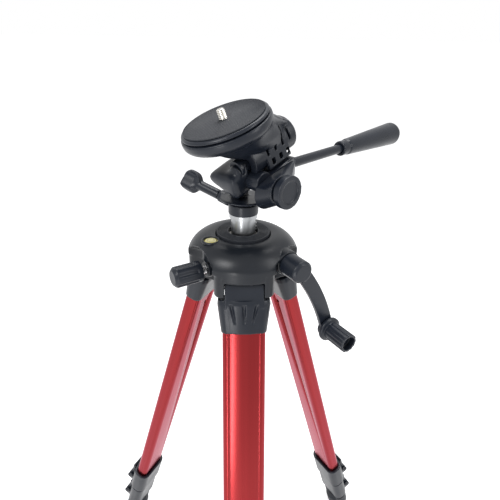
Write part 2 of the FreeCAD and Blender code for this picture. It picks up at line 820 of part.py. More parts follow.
def crank_arm():
    """Arm about the shaft: x is up before placing, y points away from the column."""
    start = crank_boss_reach + rest_gap
    hub_end = start + crank_hub_length
    end = hub_end + crank_head_length
    hub = upright(crank_hub_radius, start, end - 2)
    cap = Part.makeCone(crank_hub_radius, crank_hub_radius - 2, 2, Vector(0, 0, end - 2))
    side, rise = crank_eye_offset()
    eye = upright(crank_eye_radius, hub_end + crank_strap_start, end - crank_eye_sink, -rise, side)
    along_arm = Vector(-rise, side, 0)
    normal = Vector(-side, -rise, 0)
    normal.normalize()
    half = crank_arm_width / 2.0
    mid = along_arm * 0.5 + normal * crank_arm_bow
    near_left = normal * half
    near_right = normal * -half
    far_left = along_arm + normal * half
    far_right = along_arm - normal * half
    edges = [
        Part.Arc(near_left, mid + normal * half, far_left).toShape(),
        Part.makeLine(far_left, far_right),
        Part.Arc(far_right, mid - normal * half, near_right).toShape(),
        Part.makeLine(near_right, near_left),
    ]
    strap = Part.Face(Part.Wire(edges)).extrude(Vector(0, 0, crank_head_length - 2 - crank_strap_start))
    strap.translate(Vector(0, 0, hub_end + crank_strap_start))
    spindle_end = end - crank_eye_sink + crank_flange_length + crank_knob_length * spindle_share
    spindle = upright(crank_spindle_radius, end - 2, spindle_end, -rise, side)
    body = joined([hub, cap, eye, strap, spindle])
    return body.cut(upright(crank_shaft_radius, start - 1, crank_boss_reach + crank_hub_length - 2))


def crank_knob():
    side, rise = crank_eye_offset()
    end = crank_boss_reach + rest_gap + crank_hub_length + crank_head_length
    base = end - crank_eye_sink + rest_gap
    flange = upright(crank_flange_radius, base, base + crank_flange_length)
    grip = upright(crank_knob_radius, base, base + crank_flange_length + crank_knob_length)
    body = flange.fuse(grip).removeSplitter()
    bore_end = base + crank_flange_length + crank_knob_length * spindle_share
    body = body.cut(upright(crank_spindle_radius + running_gap, base - 1, bore_end))
    mouth = upright(crank_knob_radius - crank_knob_wall,
                    base + crank_flange_length + crank_knob_length - crank_knob_hollow, far)
    return moved(body.cut(mouth), Vector(-rise, side, 0))


def place_crank(shape):
    return raised(along(shape, crank_azimuth, crank_offset, -crank_drop))


def build_crank():
    save("pinion_shaft", place_crank(pinion_shaft()))
    save("crank_arm", place_crank(crank_arm()))
    save("crank_knob", place_crank(crank_knob()))


# ---------------------------------------------------------------- column lock
def lock_knob():
    start = lock_boss_reach + lock_thread_gap
    end = start + lock_knob_length
    body = upright(lock_knob_radius, start, end - lock_knob_bevel)
    body = body.fuse(Part.makeCone(lock_knob_radius, lock_knob_radius - lock_knob_bevel, lock_knob_bevel,
                                   Vector(0, 0, end - lock_knob_bevel)))
    body = body.removeSplitter()
    for i in range(lock_knob_flutes):
        angle = 2 * math.pi * i / lock_knob_flutes
        reach = lock_knob_radius + lock_flute_offset
        flute = upright(lock_flute_radius, start + lock_flute_start, end + 1, reach * math.cos(angle),
                        reach * math.sin(angle))
        body = body.cut(flute)
    return body.cut(upright(lock_screw_radius, start - 1, start + lock_screw_share * lock_knob_length))


def lock_screw():
    start = column_radius + rest_gap + lock_pad_length + lock_pad_gap
    return upright(lock_screw_radius, start,
                   lock_boss_reach + lock_thread_gap + lock_screw_share * lock_knob_length)


def build_lock():
    save("column_lock_knob", raised(along(lock_knob(), lock_azimuth, 0, -lock_drop)))
    save("column_lock_screw", raised(along(lock_screw(), lock_azimuth, 0, -lock_drop)))


# ---------------------------------------------------------------- head: pan stage
def place_pan(shape):
    """Head coordinates: x to the head's right, y to its back, z up from the tilt axis."""
    copy = moved(shape, Vector(0, 0, tilt_height))
    copy.rotate(ORIGIN, Z_AXIS, pan_angle)
    return copy


def place_tilt(shape):
    return place_pan(turned(shape, ORIGIN, X_AXIS, tilt_angle))


def place_flip(shape):
    centre = Vector(flip_offset, 0, flip_rise)
    return place_tilt(turned(shape, centre, Y_AXIS, -flip_angle))


def on_lock_line(shape):
    """Shape about +Z to the pan lock's sloping line, in head coordinates."""
    copy = turned(shape, ORIGIN, Y_AXIS, 90.0 - pan_lock_rise)
    copy.rotate(ORIGIN, Z_AXIS, pan_lock_angle)
    copy.translate(Vector(0, 0, pan_lock_height - tilt_rise))
    return copy


def yoke(grow=0.0):
    left = yoke_left - grow
    right = yoke_right + grow
    half = yoke_half_depth + grow
    floor = bowl_base + bowl_height - tilt_rise - 1
    stem = box(left, right, -half, half, floor, 0)
    return stem.fuse(across(yoke_head_radius + grow, left, right))


def pan_housing():
    base = bowl_base - tilt_rise
    bowl = lathe([(0, base), (base_ring_radius - bowl_base_inset, base), (bowl_radius,
                                                                      base + bowl_height - bowl_bevel),
                  (bowl_radius, base + bowl_height), (0, base + bowl_height)])
    lock_boss = on_lock_line(upright(pan_lock_boss_radius, base_ring_radius, pan_lock_boss_reach))
    keep_out = upright(base_ring_radius + rest_gap, -far, base)
    body = joined([bowl, yoke(), lock_boss.cut(keep_out)])
    body = body.cut(upright(pan_post_radius + running_gap, base - 1, base + pan_post_height + rest_gap))
    body = body.cut(on_lock_line(upright(pan_lock_screw_radius + running_gap, 5, far)))
    return body.cut(across(axle_radius + running_gap, yoke_left - 1, yoke_right + 1))


def pan_lock_screw():
    start = base_ring_radius + pan_screw_gap
    screw = on_lock_line(upright(pan_lock_screw_radius, start,
                                 pan_lock_boss_reach + pan_lock_stem_length * stem_share))
    base = bowl_base - tilt_rise
    return screw.cut(upright(base_ring_radius + rest_gap, -far, base))


def pan_lock_wing():
    start = pan_lock_boss_reach + rest_gap
    neck_end = start + pan_lock_stem_length
    stem = upright(pan_lock_stem_radius, start, neck_end)
    half = pan_lock_wing_width / 2.0
    thick = pan_lock_wing_thickness / 2.0
    blade = rod(half, Vector(0, -thick, neck_end + half - wing_sink), Y_AXIS, 2 * thick)
    blade = blade.common(box(-half, half, -thick, thick, neck_end - wing_sink,
                             neck_end - wing_sink + pan_lock_wing_length))
    body = joined([stem, blade])
    return on_lock_line(body.cut(upright(pan_lock_screw_radius, start - 1,
                                         start + pan_lock_stem_length * stem_share)))


def build_pan():
    save("pan_housing", place_pan(pan_housing()))
    save("pan_lock_screw", place_pan(pan_lock_screw()))
    save("pan_lock_wing", place_pan(pan_lock_wing()))


# ---------------------------------------------------------------- head: tilt stage
def yoke_sweep():
    """Room the yoke takes in the tilting block over the whole tilt travel."""
    low = -tilt_angle - tilt_forward_travel
    high = -tilt_angle + tilt_back_travel
    steps = 5
    room = []
    for i in range(steps):
        angle = low + (high - low) * i / (steps - 1)
        room.append(turned(yoke(yoke_gap), ORIGIN, X_AXIS, angle))
    return joined(room)


def flip_shaft():
    start = Vector(flip_offset, flip_shaft_front, flip_rise)
    end = barrel_front + barrel_length - barrel_end_wall - rest_gap
    return rod(flip_shaft_radius, start, Y_AXIS, end - flip_shaft_front)


def tilt_saddle():
    inset = saddle_round
    outline = [(saddle_left, saddle_top - inset - saddle_side), (saddle_left, saddle_top - inset),
               (saddle_left + 0.3 * inset, saddle_top - 0.3 * inset), (saddle_left + inset, saddle_top),
               (saddle_right, saddle_top), (saddle_right, saddle_bottom), (0.5 * saddle_right, saddle_bottom)]
    core = turned(prism(outline, -saddle_front + trunnion_radius), ORIGIN, X_AXIS, 90)
    core = moved(core, Vector(0, trunnion_radius, 0))
    front = box(saddle_left - 1, saddle_right + 1, saddle_front - 1, 2, -far, far)
    back = box(saddle_left - 1, yoke_left - rest_gap, 1, trunnion_radius, -far, far)
    core = core.common(front.fuse(back))
    trunnion = across(trunnion_radius, saddle_left + 2, yoke_left - rest_gap)
    seat = Vector(flip_offset, flip_shaft_front - collar_lead, flip_rise - collar_drop)
    collar = Part.makeCone(flip_shaft_radius - collar_flare, flip_shaft_radius + collar_flare,
                           collar_length, seat, Y_AXIS)
    body = joined([core, trunnion, collar])
    body = body.cut(yoke_sweep()).cut(flip_shaft())
    return body.cut(across(axle_radius, saddle_left - 1, saddle_right + 1))


def tilted_bar(x0, x1, start, end, half):
    """Bar along the handle's direction, in tilting coordinates."""
    bar = box(x0, x1, start, end, handle_rise - half, handle_rise + half)
    return turned(bar, ORIGIN, X_AXIS, handle_slope)


def cover_side_wire():
    """Side of the cover where it starts to narrow: round in front, drawn out to the handle's socket."""
    lean = math.radians(handle_slope)

    def socket_corner(rise):
        return Vector(boss_start, socket_length * math.cos(lean) - rise * math.sin(lean),
                      socket_length * math.sin(lean) + rise * math.cos(lean))

    front = Vector(boss_start, -math.sqrt(cover_radius ** 2 - (cover_top + cover_sag) ** 2), cover_top)
    nose = Vector(boss_start, -cover_radius, -cover_sag)
    tail = math.radians(cover_tail_angle)
    low = Vector(boss_start, cover_radius * math.cos(tail), cover_radius * math.sin(tail) - cover_sag)
    corners = [front, low, socket_corner(handle_rise - socket_half_height),
               socket_corner(handle_rise + socket_half_height)]
    edges = [Part.Arc(front, nose, low).toShape()]
    for i in range(1, 4):
        edges.append(Part.makeLine(corners[i], corners[(i + 1) % 4]))
    return Part.Wire(edges), corners


def boss_wire(corners):
    """Circle at the boss's end, cut where lines from the side's corners meet it."""
    angles = [math.atan2(p.z + stud_drop, p.y) % (2 * math.pi) for p in corners]

    def at(angle):
        return Vector(boss_right, boss_radius * math.cos(angle), boss_radius * math.sin(angle) - stud_drop)

    edges = []
    for i in range(4):
        start = angles[i]
        end = angles[(i + 1) % 4]
        if end < start:
            end += 2 * math.pi
        edges.append(Part.Arc(at(start), at((start + end) / 2.0), at(end)).toShape())
    return Part.Wire(edges)


def tilt_cover():
    """Deck behind the saddle and below the barrel, flaring out to the side boss and the handle's socket."""
    deck = tilted_bar(cover_left, boss_start, yoke_head_radius + 2, socket_length, socket_half_height)
    arm = tilted_bar(saddle_right, boss_start, 0, socket_length, socket_half_height)
    side, corners = cover_side_wire()
    flare = Part.makeLoft([side, boss_wire(corners)], True, True)
    body = joined([deck, arm, flare])
    body = body.cut(box(cover_left - 1, boss_start, -far, far, cover_top, far)).cut(yoke_sweep())
    body = body.cut(across(axle_radius, boss_right - 2 * knob_length, boss_right + 1, 0, -stud_drop))
    return body.cut(handle_line(handle_rod_radius + running_gap, handle_rod_start, socket_length + 1))


def tilt_axle():
    return across(axle_radius, saddle_left + axle_inset, saddle_right)


def knob_stud():
    end = boss_right + knob_gap + knob_length * knob_bore_share
    return across(axle_radius, boss_right - 2 * knob_length, end, 0, -stud_drop)


def tilt_knob():
    start = boss_right + knob_gap
    rim = across(knob_radius, start + knob_neck_length, start + knob_length)
    neck = across(knob_neck_radius, start, start + knob_neck_length + 0.5)
    body = rim.fuse(neck).removeSplitter()
    dish = across(knob_radius - knob_dish_wall, start + knob_length - knob_dish_depth,
                  start + knob_length + 1)
    body = body.cut(dish)
    body = body.cut(across(axle_radius + running_gap, start - 1, start + knob_length * knob_bore_share))
    return moved(body, Vector(0, 0, -stud_drop))


def handle_line(radius, start, end):
    bar = rod(radius, Vector(handle_offset, start, handle_rise), Y_AXIS, end - start)
    return turned(bar, ORIGIN, X_AXIS, handle_slope)


def handle_grip():
    ferrule_end = handle_grip_start + handle_ferrule_length
    grip_end = handle_reach - handle_grip_radius * 0.6
    profile = [(0, handle_grip_start), (handle_ferrule_radius, handle_grip_start),
               (handle_ferrule_radius, ferrule_end - 1), (handle_ferrule_radius - 0.8, ferrule_end),
               (handle_ferrule_radius + 0.6, ferrule_end + 1), (handle_grip_radius, grip_end),
               (handle_grip_radius * 0.8, handle_reach - 2), (handle_grip_radius * 0.45, handle_reach),
               (0, handle_reach)]
    body = lathe(profile)
    rod_end = handle_grip_start + grip_rod_depth
    body = body.cut(upright(handle_rod_radius, handle_grip_start - 1, rod_end))
    body = turned(body, ORIGIN, X_AXIS, -90)
    return turned(moved(body, Vector(handle_offset, 0, handle_rise)), ORIGIN, X_AXIS, handle_slope)


def build_tilt():
    save("tilt_saddle", place_tilt(tilt_saddle()))
    save("tilt_side_cover", place_tilt(tilt_cover()))
    save("tilt_axle", place_tilt(tilt_axle()))
    save("friction_knob_stud", place_tilt(knob_stud()))
    save("flip_shaft", place_tilt(flip_shaft()))
    save("tilt_friction_knob", place_tilt(tilt_knob()))
    save("pan_handle_rod", place_tilt(handle_line(handle_rod_radius, handle_rod_start,
                                                  handle_grip_start + grip_rod_depth)))
    save("pan_handle_grip", place_tilt(handle_grip()))


# ---------------------------------------------------------------- head: platform
def tilt_envelope():
    """Room that the tilting stage takes below the platform."""
    gap = envelope_gap
    block = box(saddle_left - gap, saddle_right + gap, saddle_front - gap, gap + 2, saddle_bottom,
                saddle_top + gap)
    rear = box(saddle_left - gap, yoke_left + gap, 0, trunnion_radius + gap, -trunnion_radius,
               saddle_top + gap)
    head = across(yoke_head_radius + gap, saddle_left, saddle_right)
    deck = box(cover_left - gap, boss_start + gap, -cover_radius, socket_length + envelope_tail,
               -cover_radius, cover_top + gap)
    boss = across(boss_radius + gap, boss_start, boss_right + gap)
    collar = rod(flip_shaft_radius + collar_flare + 1, Vector(flip_offset, flip_shaft_front - collar_lead,
                                                              flip_rise), Y_AXIS, collar_length)
    return [block, rear, head, deck, boss, collar]


def platform_bowl():
    """Dish under the plate, with a rounded side."""
    base = bowl_top_rise - bowl_depth
    spread = bowl_top_radius - bowl_bottom_radius
    steps = 8
    outline = [(0, base)]
    for i in range(steps + 1):
        angle = math.radians(90.0 * i / steps)
        outline.append((bowl_bottom_radius + spread * math.sin(angle),
                        base + bowl_round * (1 - math.cos(angle))))
    return lathe(outline + [(bowl_top_radius, bowl_top_rise), (0, bowl_top_rise)])


def platform_shell():
    rim = Vector(0, 0, bowl_top_rise - web_top_drop)
    upper = Part.Wire(Part.makeCircle(web_top_radius, rim, Z_AXIS))
    middle = Vector(barrel_offset, barrel_front + 0.5 * barrel_length, barrel_rise)
    lower = Part.Ellipse(middle, 0.5 * barrel_length, barrel_radius - web_inset).toShape()
    lower.rotate(middle, Z_AXIS, 90)
    web = Part.makeLoft([Part.Wire(lower), upper], True, True)
    straight = barrel_length - barrel_end_round
    start = Vector(barrel_offset, barrel_front, barrel_rise)
    barrel = rod(barrel_radius, start, Y_AXIS, straight)
    end = Part.makeCone(barrel_radius, barrel_radius - barrel_end_inset, barrel_end_round,
                        Vector(barrel_offset, barrel_front + straight, barrel_rise), Y_AXIS)
    side = barrel_offset + barrel_radius
    skirt = box(side - skirt_thickness, side, slit_start - 2, slit_start + (slit_count - 1) * slit_pitch - 2,
                barrel_rise - skirt_drop, barrel_rise)
    body = joined([platform_bowl(), web, barrel, end, skirt])
    mouth_start = flip_shaft_front - 1
    mouth_end = barrel_front + barrel_mouth_length
    mouth = rod(barrel_bore, Vector(flip_offset, mouth_start, flip_rise), Y_AXIS, mouth_end - mouth_start)
    bearing = rod(flip_shaft_radius + running_gap, Vector(flip_offset, barrel_front, flip_rise), Y_AXIS,
                  barrel_length - barrel_end_wall)
    underside = box(-far, side - skirt_thickness, -far, barrel_front + barrel_length - barrel_tail, -far,
                    flip_rise - barrel_open)
    body = body.cut(mouth).cut(bearing).cut(underside)
    centre = Vector(flip_offset, 0, flip_rise)
    steps = 7
    for i in range(steps):
        angle = (flip_angle + flip_travel) * i / (steps - 1)
        for room in tilt_envelope():
            body = body.cut(turned(room, centre, Y_AXIS, angle))
    for i in range(slit_count):
        y = slit_start + i * slit_pitch
        slit = box(side - slit_depth, side + 1, y, y + slit_width, barrel_rise - 2,
                   barrel_rise + barrel_radius)
        body = body.cut(slit)
        if i < slit_count - 1:
            window = box(side - skirt_thickness - 1, side + 1, y + window_lead,
                         y + window_lead + window_width,
                         window_base, window_base + window_height)
            body = body.cut(window)
    half = key_size / 2.0 + key_gap
    seat = box(-half, half, -half, half, bowl_top_rise - key_height - key_gap, bowl_top_rise + 1)
    well = upright(screw_head_radius + key_gap, bowl_top_rise - key_height - screw_well_depth, bowl_top_rise)
    return body.cut(seat).cut(well).cut(tab_slot())


def tab_shape(grow):
    half = tab_width / 2.0 + grow
    top = bowl_top_rise - platform_top_gap
    slab = box(bowl_top_radius - tab_root - grow, plate_radius + tab_reach, -half, half,
               top - tab_height - grow,
               top + grow)
    return turned(slab, ORIGIN, Z_AXIS, tab_angle)


def tab_slot():
    return tab_shape(rest_gap)


def quick_plate():
    bottom = bowl_top_rise + platform_top_gap
    top = bottom + plate_thickness
    disc = lathe([(0, bottom), (plate_radius - plate_low_bevel, bottom), (plate_radius,
                                                                      bottom + plate_low_bevel),
                  (plate_radius, top - plate_top_bevel), (plate_radius - plate_top_bevel, top), (0, top)])
    half = key_size / 2.0
    key = box(-half, half, -half, half, bottom - key_height, bottom + 0.5)
    body = disc.fuse(key).removeSplitter()
    body = body.cut(upright(screw_radius + running_gap, -far, top + 1))
    return body.cut(upright(screw_head_radius + running_gap, bottom - key_height - 1,
                            bottom - key_height + screw_head_height))


def plate_pad():
    top = pad_rise
    body = upright(pad_radius, top - pad_thickness, top)
    return body.cut(upright(screw_radius + rest_gap, top - 5, top + 1))


def camera_screw():
    bottom = bowl_top_rise + platform_top_gap - key_height + rest_gap
    neck = upright(screw_neck_radius, bottom, pad_rise)
    thread = upright(screw_radius, pad_rise, pad_rise + screw_height)
    head = upright(screw_head_radius, bottom, bottom + screw_head_height - 2 * rest_gap)
    return joined([neck, thread, head])


def build_platform():
    save("platform_shell", place_flip(platform_shell()))
    save("plate_release_tab", place_flip(tab_shape(0.0)))
    save("quick_plate", place_flip(quick_plate()))
    save("plate_rubber_pad", place_flip(plate_pad()))
    save("camera_screw", place_flip(camera_screw()))


os.makedirs("parts", exist_ok=True)
build_legs()
build_crown()
build_column()
build_crank()
build_lock()
build_pan()
build_tilt()
build_platform()
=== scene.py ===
# %% [markdown]
# # A camera support: three legs, a geared column and a head that pans, tilts and flips
# The frame is a imported CAD model.  It already has every part at its real size and place, so this
# lesson adds what the eye sees: softened edges, threads, ribs, and the finish of each material.
# We load the frame first.

# %% Load the frame
import json
import math

import bmesh
import bpy
from mathutils import Matrix, Vector


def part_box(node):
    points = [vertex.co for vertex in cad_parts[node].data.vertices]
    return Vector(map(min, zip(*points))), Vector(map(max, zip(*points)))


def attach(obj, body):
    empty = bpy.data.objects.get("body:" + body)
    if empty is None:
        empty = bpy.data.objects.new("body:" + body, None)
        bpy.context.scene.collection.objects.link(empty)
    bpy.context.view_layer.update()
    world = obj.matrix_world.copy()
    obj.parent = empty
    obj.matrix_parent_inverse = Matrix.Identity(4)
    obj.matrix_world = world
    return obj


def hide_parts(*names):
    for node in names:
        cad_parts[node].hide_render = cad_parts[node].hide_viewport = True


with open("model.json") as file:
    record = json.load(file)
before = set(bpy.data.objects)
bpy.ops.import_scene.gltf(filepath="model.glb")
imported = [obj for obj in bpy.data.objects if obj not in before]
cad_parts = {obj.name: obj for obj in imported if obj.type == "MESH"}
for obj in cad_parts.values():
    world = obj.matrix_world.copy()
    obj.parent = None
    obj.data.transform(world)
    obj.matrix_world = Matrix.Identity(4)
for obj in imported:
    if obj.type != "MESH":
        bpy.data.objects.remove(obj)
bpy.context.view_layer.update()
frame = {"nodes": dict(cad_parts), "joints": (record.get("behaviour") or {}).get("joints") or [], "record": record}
MM = 0.001
joints = {joint["name"]: joint for joint in frame["joints"]}
LEGS = ("front_leg", "right_leg", "left_leg")

# %% [markdown]
# ## Directions to build along
# A leg leans, the platform leans two ways, and the crank points off to one side.  Working out
# corners in the room's own directions would be painful.  Each joint already knows where it is and
# which way it turns, so we make a small coordinate frame from two directions and build in that.

# %% Coordinate frames taken from the joints
def joint_point(name):
    return Vector(joints[name]["pos_m"])


def joint_axis(name):
    return Vector(joints[name]["axis"]).normalized()


def axes_at(origin, x, z):
    """Matrix with its origin there, Z along z, and X as near to x as it can be."""
    z = z.normalized()
    y = z.cross(x).normalized()
    matrix = Matrix((y.cross(z), y, z)).transposed().to_4x4()
    matrix.translation = origin
    return matrix


DOWN = Vector((0, 0, -1))
flip_axis = -joint_axis("platform_flip")
tilt_axis = joint_axis("platform_tilt")
tilt_point = joint_point("platform_tilt")
side_frame = axes_at(tilt_point, -DOWN, tilt_axis)
plate_normal = joint_axis("quick_plate_lift")
plate_frame = axes_at(joint_point("camera_screw_spin"), flip_axis.cross(plate_normal), plate_normal)
flip_frame = axes_at(joint_point("platform_flip"), flip_axis.cross(plate_normal), plate_normal)
crank_knob_frame = axes_at(joint_point("crank_knob_spin"), DOWN, joint_axis("crank_knob_spin"))
lock_frame = axes_at(joint_point("column_lock_turn"), DOWN, joint_axis("column_lock_turn"))
wing_frame = axes_at(joint_point("pan_lock_turn"), DOWN, joint_axis("pan_lock_turn"))
leg_frame = {}
for leg in LEGS:
    hinge = leg + "_spread"
    leg_frame[leg] = axes_at(joint_point(hinge), joint_axis(hinge), -joint_axis(leg + "_middle_slide"))


def extent(node, matrix):
    """Lowest and highest corner of a CAD node, measured along a coordinate frame's own axes."""
    inverse = matrix.inverted()
    points = [inverse @ v.co for v in frame["nodes"][node].data.vertices]
    low = Vector([min(p[i] for p in points) for i in range(3)])
    high = Vector([max(p[i] for p in points) for i in range(3)])
    return low, high


crown_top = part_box("crown_casting")[1].z
print("crown top %.4f m" % crown_top)

# %% [markdown]
# ## Camera
# The camera looks down at the head from in front, a little to the left, and rolls about a degree.
# We write its place from the crown, then build the three directions by hand, because that shows
# plainly which way is right and which way is up.

# %% Camera
CAMERA_PLACE = Vector((-0.0123, -0.3516, crown_top + 0.1554))
CAMERA_HEADING = Vector((0.0523, 0.9986, 0)).normalized()
CAMERA_PITCH = math.radians(26.11)
CAMERA_ROLL = math.radians(1.10)
FOCAL_LENGTH = 32.63
NEAR_LIMIT = 0.01

forward = CAMERA_HEADING * math.cos(CAMERA_PITCH) + DOWN * math.sin(CAMERA_PITCH)
level_right = forward.cross(-DOWN).normalized()
level_up = level_right.cross(forward)
right = level_right * math.cos(CAMERA_ROLL) + level_up * math.sin(CAMERA_ROLL)
up = level_up * math.cos(CAMERA_ROLL) - level_right * math.sin(CAMERA_ROLL)
camera = bpy.data.objects.new("camera", bpy.data.cameras.new("camera"))
camera.data.lens = FOCAL_LENGTH
camera.data.clip_start = NEAR_LIMIT
camera.matrix_world = Matrix((right, up, -forward)).transposed().to_4x4()
camera.location = CAMERA_PLACE
bpy.context.collection.objects.link(camera)
bpy.context.scene.camera = camera
bpy.context.scene.view_settings.view_transform = "Standard"
print("camera %.3f m from the column" % CAMERA_PLACE.xy.length)

# %% [markdown]
# ## Node helpers
# Materials are small programs.  Two short helpers keep them readable: one adds a node and sets its
# plain values, the other joins two sockets.

# %% Node helpers
def add_node(tree, kind, **values):
    node = tree.nodes.new(kind)
    for key, value in values.items():
        if key in node.inputs:
            node.inputs[key].default_value = value
        else:
            setattr(node, key, value)
    return node


def link(tree, output, target):
    tree.links.new(output, target)


print("made add_node and link")

# %% [markdown]
# ## White room
# Shiny things look like what surrounds them.  The room is plain: the camera, mirrors and glass all see
# it white, and matt surfaces get a dimmer share of it as light, so that black plastic stays black.
# The Light Path node tells the two kinds of ray apart.

# %% White room
ROOM_LIGHT = 0.50
SHOWN_LIGHT = 1.0
WHITE = (1, 1, 1, 1)


def sees_background(tree):
    """1 for the camera's own rays and for reflections and refractions, which show the background too."""
    path = add_node(tree, "ShaderNodeLightPath")
    shiny = add_node(tree, "ShaderNodeMath", operation="MAXIMUM")
    link(tree, path.outputs["Is Glossy Ray"], shiny.inputs[0])
    link(tree, path.outputs["Is Transmission Ray"], shiny.inputs[1])
    either = add_node(tree, "ShaderNodeMath", operation="MAXIMUM")
    link(tree, shiny.outputs[0], either.inputs[0])
    link(tree, path.outputs["Is Camera Ray"], either.inputs[1])
    return either.outputs[0]


world = bpy.data.worlds.new("studio")
bpy.context.scene.world = world
world.use_nodes = True
tree = world.node_tree
tree.nodes.clear()
room = add_node(tree, "ShaderNodeBackground", Strength=ROOM_LIGHT)
white = add_node(tree, "ShaderNodeBackground", Strength=SHOWN_LIGHT)
for background in (room, white):
    background.inputs["Color"].default_value = WHITE
choice = add_node(tree, "ShaderNodeMixShader")
link(tree, sees_background(tree), choice.inputs[0])
link(tree, room.outputs[0], choice.inputs[1])
link(tree, white.outputs[0], choice.inputs[2])
link(tree, choice.outputs[0], add_node(tree, "ShaderNodeOutputWorld").inputs[0])
print("room light", ROOM_LIGHT)

# %% [markdown]
# ## Floor
# The floor is one square, so large that its edge is lost in the distance.  It takes the lamps' light
# and shadow like paper.  A glow that only the camera and reflections see lifts it to the room's white
# and leaves the shadow in place.

# %% Pale floor
FLOOR_SIZE = 60.0
FLOOR_COLOR = (0.86, 0.86, 0.87, 1)
FLOOR_GLOW = 0.64

floor_mesh = bpy.data.meshes.new("floor")
half = FLOOR_SIZE / 2
corners = [(-half, -half, 0), (half, -half, 0), (half, half, 0), (-half, half, 0)]
floor_mesh.from_pydata(corners, [], [(0, 1, 2, 3)])
floor = bpy.data.objects.new("floor", floor_mesh)
bpy.context.collection.objects.link(floor)
floor_material = bpy.data.materials.new("pale floor")
floor_material.use_nodes = True
tree = floor_material.node_tree
tree.nodes.clear()
matt = add_node(tree, "ShaderNodeBsdfDiffuse")
matt.inputs["Color"].default_value = FLOOR_COLOR
glow = add_node(tree, "ShaderNodeEmission", Strength=FLOOR_GLOW)
none = add_node(tree, "ShaderNodeEmission", Strength=0.0)
lit = add_node(tree, "ShaderNodeMixShader")
both = add_node(tree, "ShaderNodeAddShader")
link(tree, sees_background(tree), lit.inputs[0])
link(tree, none.outputs[0], lit.inputs[1])
link(tree, glow.outputs[0], lit.inputs[2])
link(tree, matt.outputs[0], both.inputs[0])
link(tree, lit.outputs[0], both.inputs[1])
link(tree, both.outputs[0], add_node(tree, "ShaderNodeOutputMaterial").inputs[0])
floor_mesh.materials.append(floor_material)
print("floor", FLOOR_SIZE, "m")

# %% [markdown]
# ## Soft lamps
# A large lamp close by gives wide, gentle highlights.  The key stands in front to the left, the fill to
# the right and the top lamp above and behind.  A narrow lamp, low in front, draws one bright streak
# along the front leg.  Each row gives the lamp's place, its target, its width and height, and its power.

# %% Soft lamps
head = (0, 0, tilt_point.z)
front_tube = (-0.008, -0.07, 0.33)
LAMPS = {
    "key": ((-0.75, -0.75, 1.25), head, 0.5, 0.5, 10.0),
    "fill": ((0.95, -0.45, 0.95), head, 0.3, 0.8, 5.0),
    "top": ((0.1, 0.35, 1.5), head, 0.9, 0.5, 10.0),
    "streak": ((-0.34, -0.93, 0.20), front_tube, 0.08, 0.40, 2.2),
}
for name, (place, target, width, height, watts) in LAMPS.items():
    lamp = bpy.data.objects.new(name, bpy.data.lights.new(name, "AREA"))
    lamp.data.shape = "RECTANGLE"
    lamp.data.size = width
    lamp.data.size_y = height
    lamp.data.energy = watts
    lamp.location = place
    lamp.rotation_mode = "QUATERNION"
    lamp.rotation_quaternion = (Vector(target) - Vector(place)).to_track_quat("-Z", "Y")
    bpy.context.collection.objects.link(lamp)
print("lamps", len(LAMPS))

# %% [markdown]
# ## Effects that several materials share
# Moulded plastic is never quite smooth, and its corners polish with handling; their lighter tone
# also stands for a painted highlight along every edge.  Drawn metal carries fine lines along its
# length.  Each effect is built once as a node group and then used by many materials with their own
# values, so a change to the effect reaches all of them.

# %% Building and using a node group
FLOAT = "NodeSocketFloat"


def new_group(name, inputs, outputs):
    """Shader node group with named sockets, and its input and output nodes."""
    tree = bpy.data.node_groups.new(name, "ShaderNodeTree")
    for title, kind, value in inputs:
        socket = tree.interface.new_socket(name=title, in_out="INPUT", socket_type=kind)
        socket.default_value = value
    for title, kind in outputs:
        tree.interface.new_socket(name=title, in_out="OUTPUT", socket_type=kind)
    return tree, tree.nodes.new("NodeGroupInput"), tree.nodes.new("NodeGroupOutput")


def use_group(tree, group, **values):
    node = tree.nodes.new("ShaderNodeGroup")
    node.node_tree = group
    for key, value in values.items():
        node.inputs[key].default_value = value
    return node


print("groups so far", len(bpy.data.node_groups))

# %% [markdown]
# A mould leaves a fine grain.  A small noise gives its height, and a larger one a cloud of tone that
# keeps a big black surface from looking like paint.

# %% Fine grain of a moulded surface
def build_grain():
    tree, inside, outside = new_group(
        "moulded grain",
        [("Scale", FLOAT, 900.0), ("Cloud Scale", FLOAT, 45.0)],
        [("Height", FLOAT), ("Cloud", FLOAT)],
    )
    place = add_node(tree, "ShaderNodeTexCoord")
    fine = add_node(tree, "ShaderNodeTexNoise", Detail=3.0, Roughness=0.6)
    cloud = add_node(tree, "ShaderNodeTexNoise", Detail=2.0, Roughness=0.5)
    link(tree, place.outputs["Object"], fine.inputs["Vector"])
    link(tree, place.outputs["Object"], cloud.inputs["Vector"])
    link(tree, inside.outputs["Scale"], fine.inputs["Scale"])
    link(tree, inside.outputs["Cloud Scale"], cloud.inputs["Scale"])
    link(tree, fine.outputs[0], outside.inputs["Height"])
    link(tree, cloud.outputs[0], outside.inputs["Cloud"])
    return tree


grain_group = build_grain()
print("group", grain_group.name)

# %% [markdown]
# A Bevel node gives the normal that a rounded corner would have.  Where it differs from the true
# normal there is a corner, and that difference is the mask of wear and of a painted highlight along
# the edges.  Noise breaks it up.

# %% Worn corners
WEAR_AND_HIGHLIGHT_START = 0.995            # cosine between the rounded and the true normal
WEAR_AND_HIGHLIGHT_FULL = 0.86


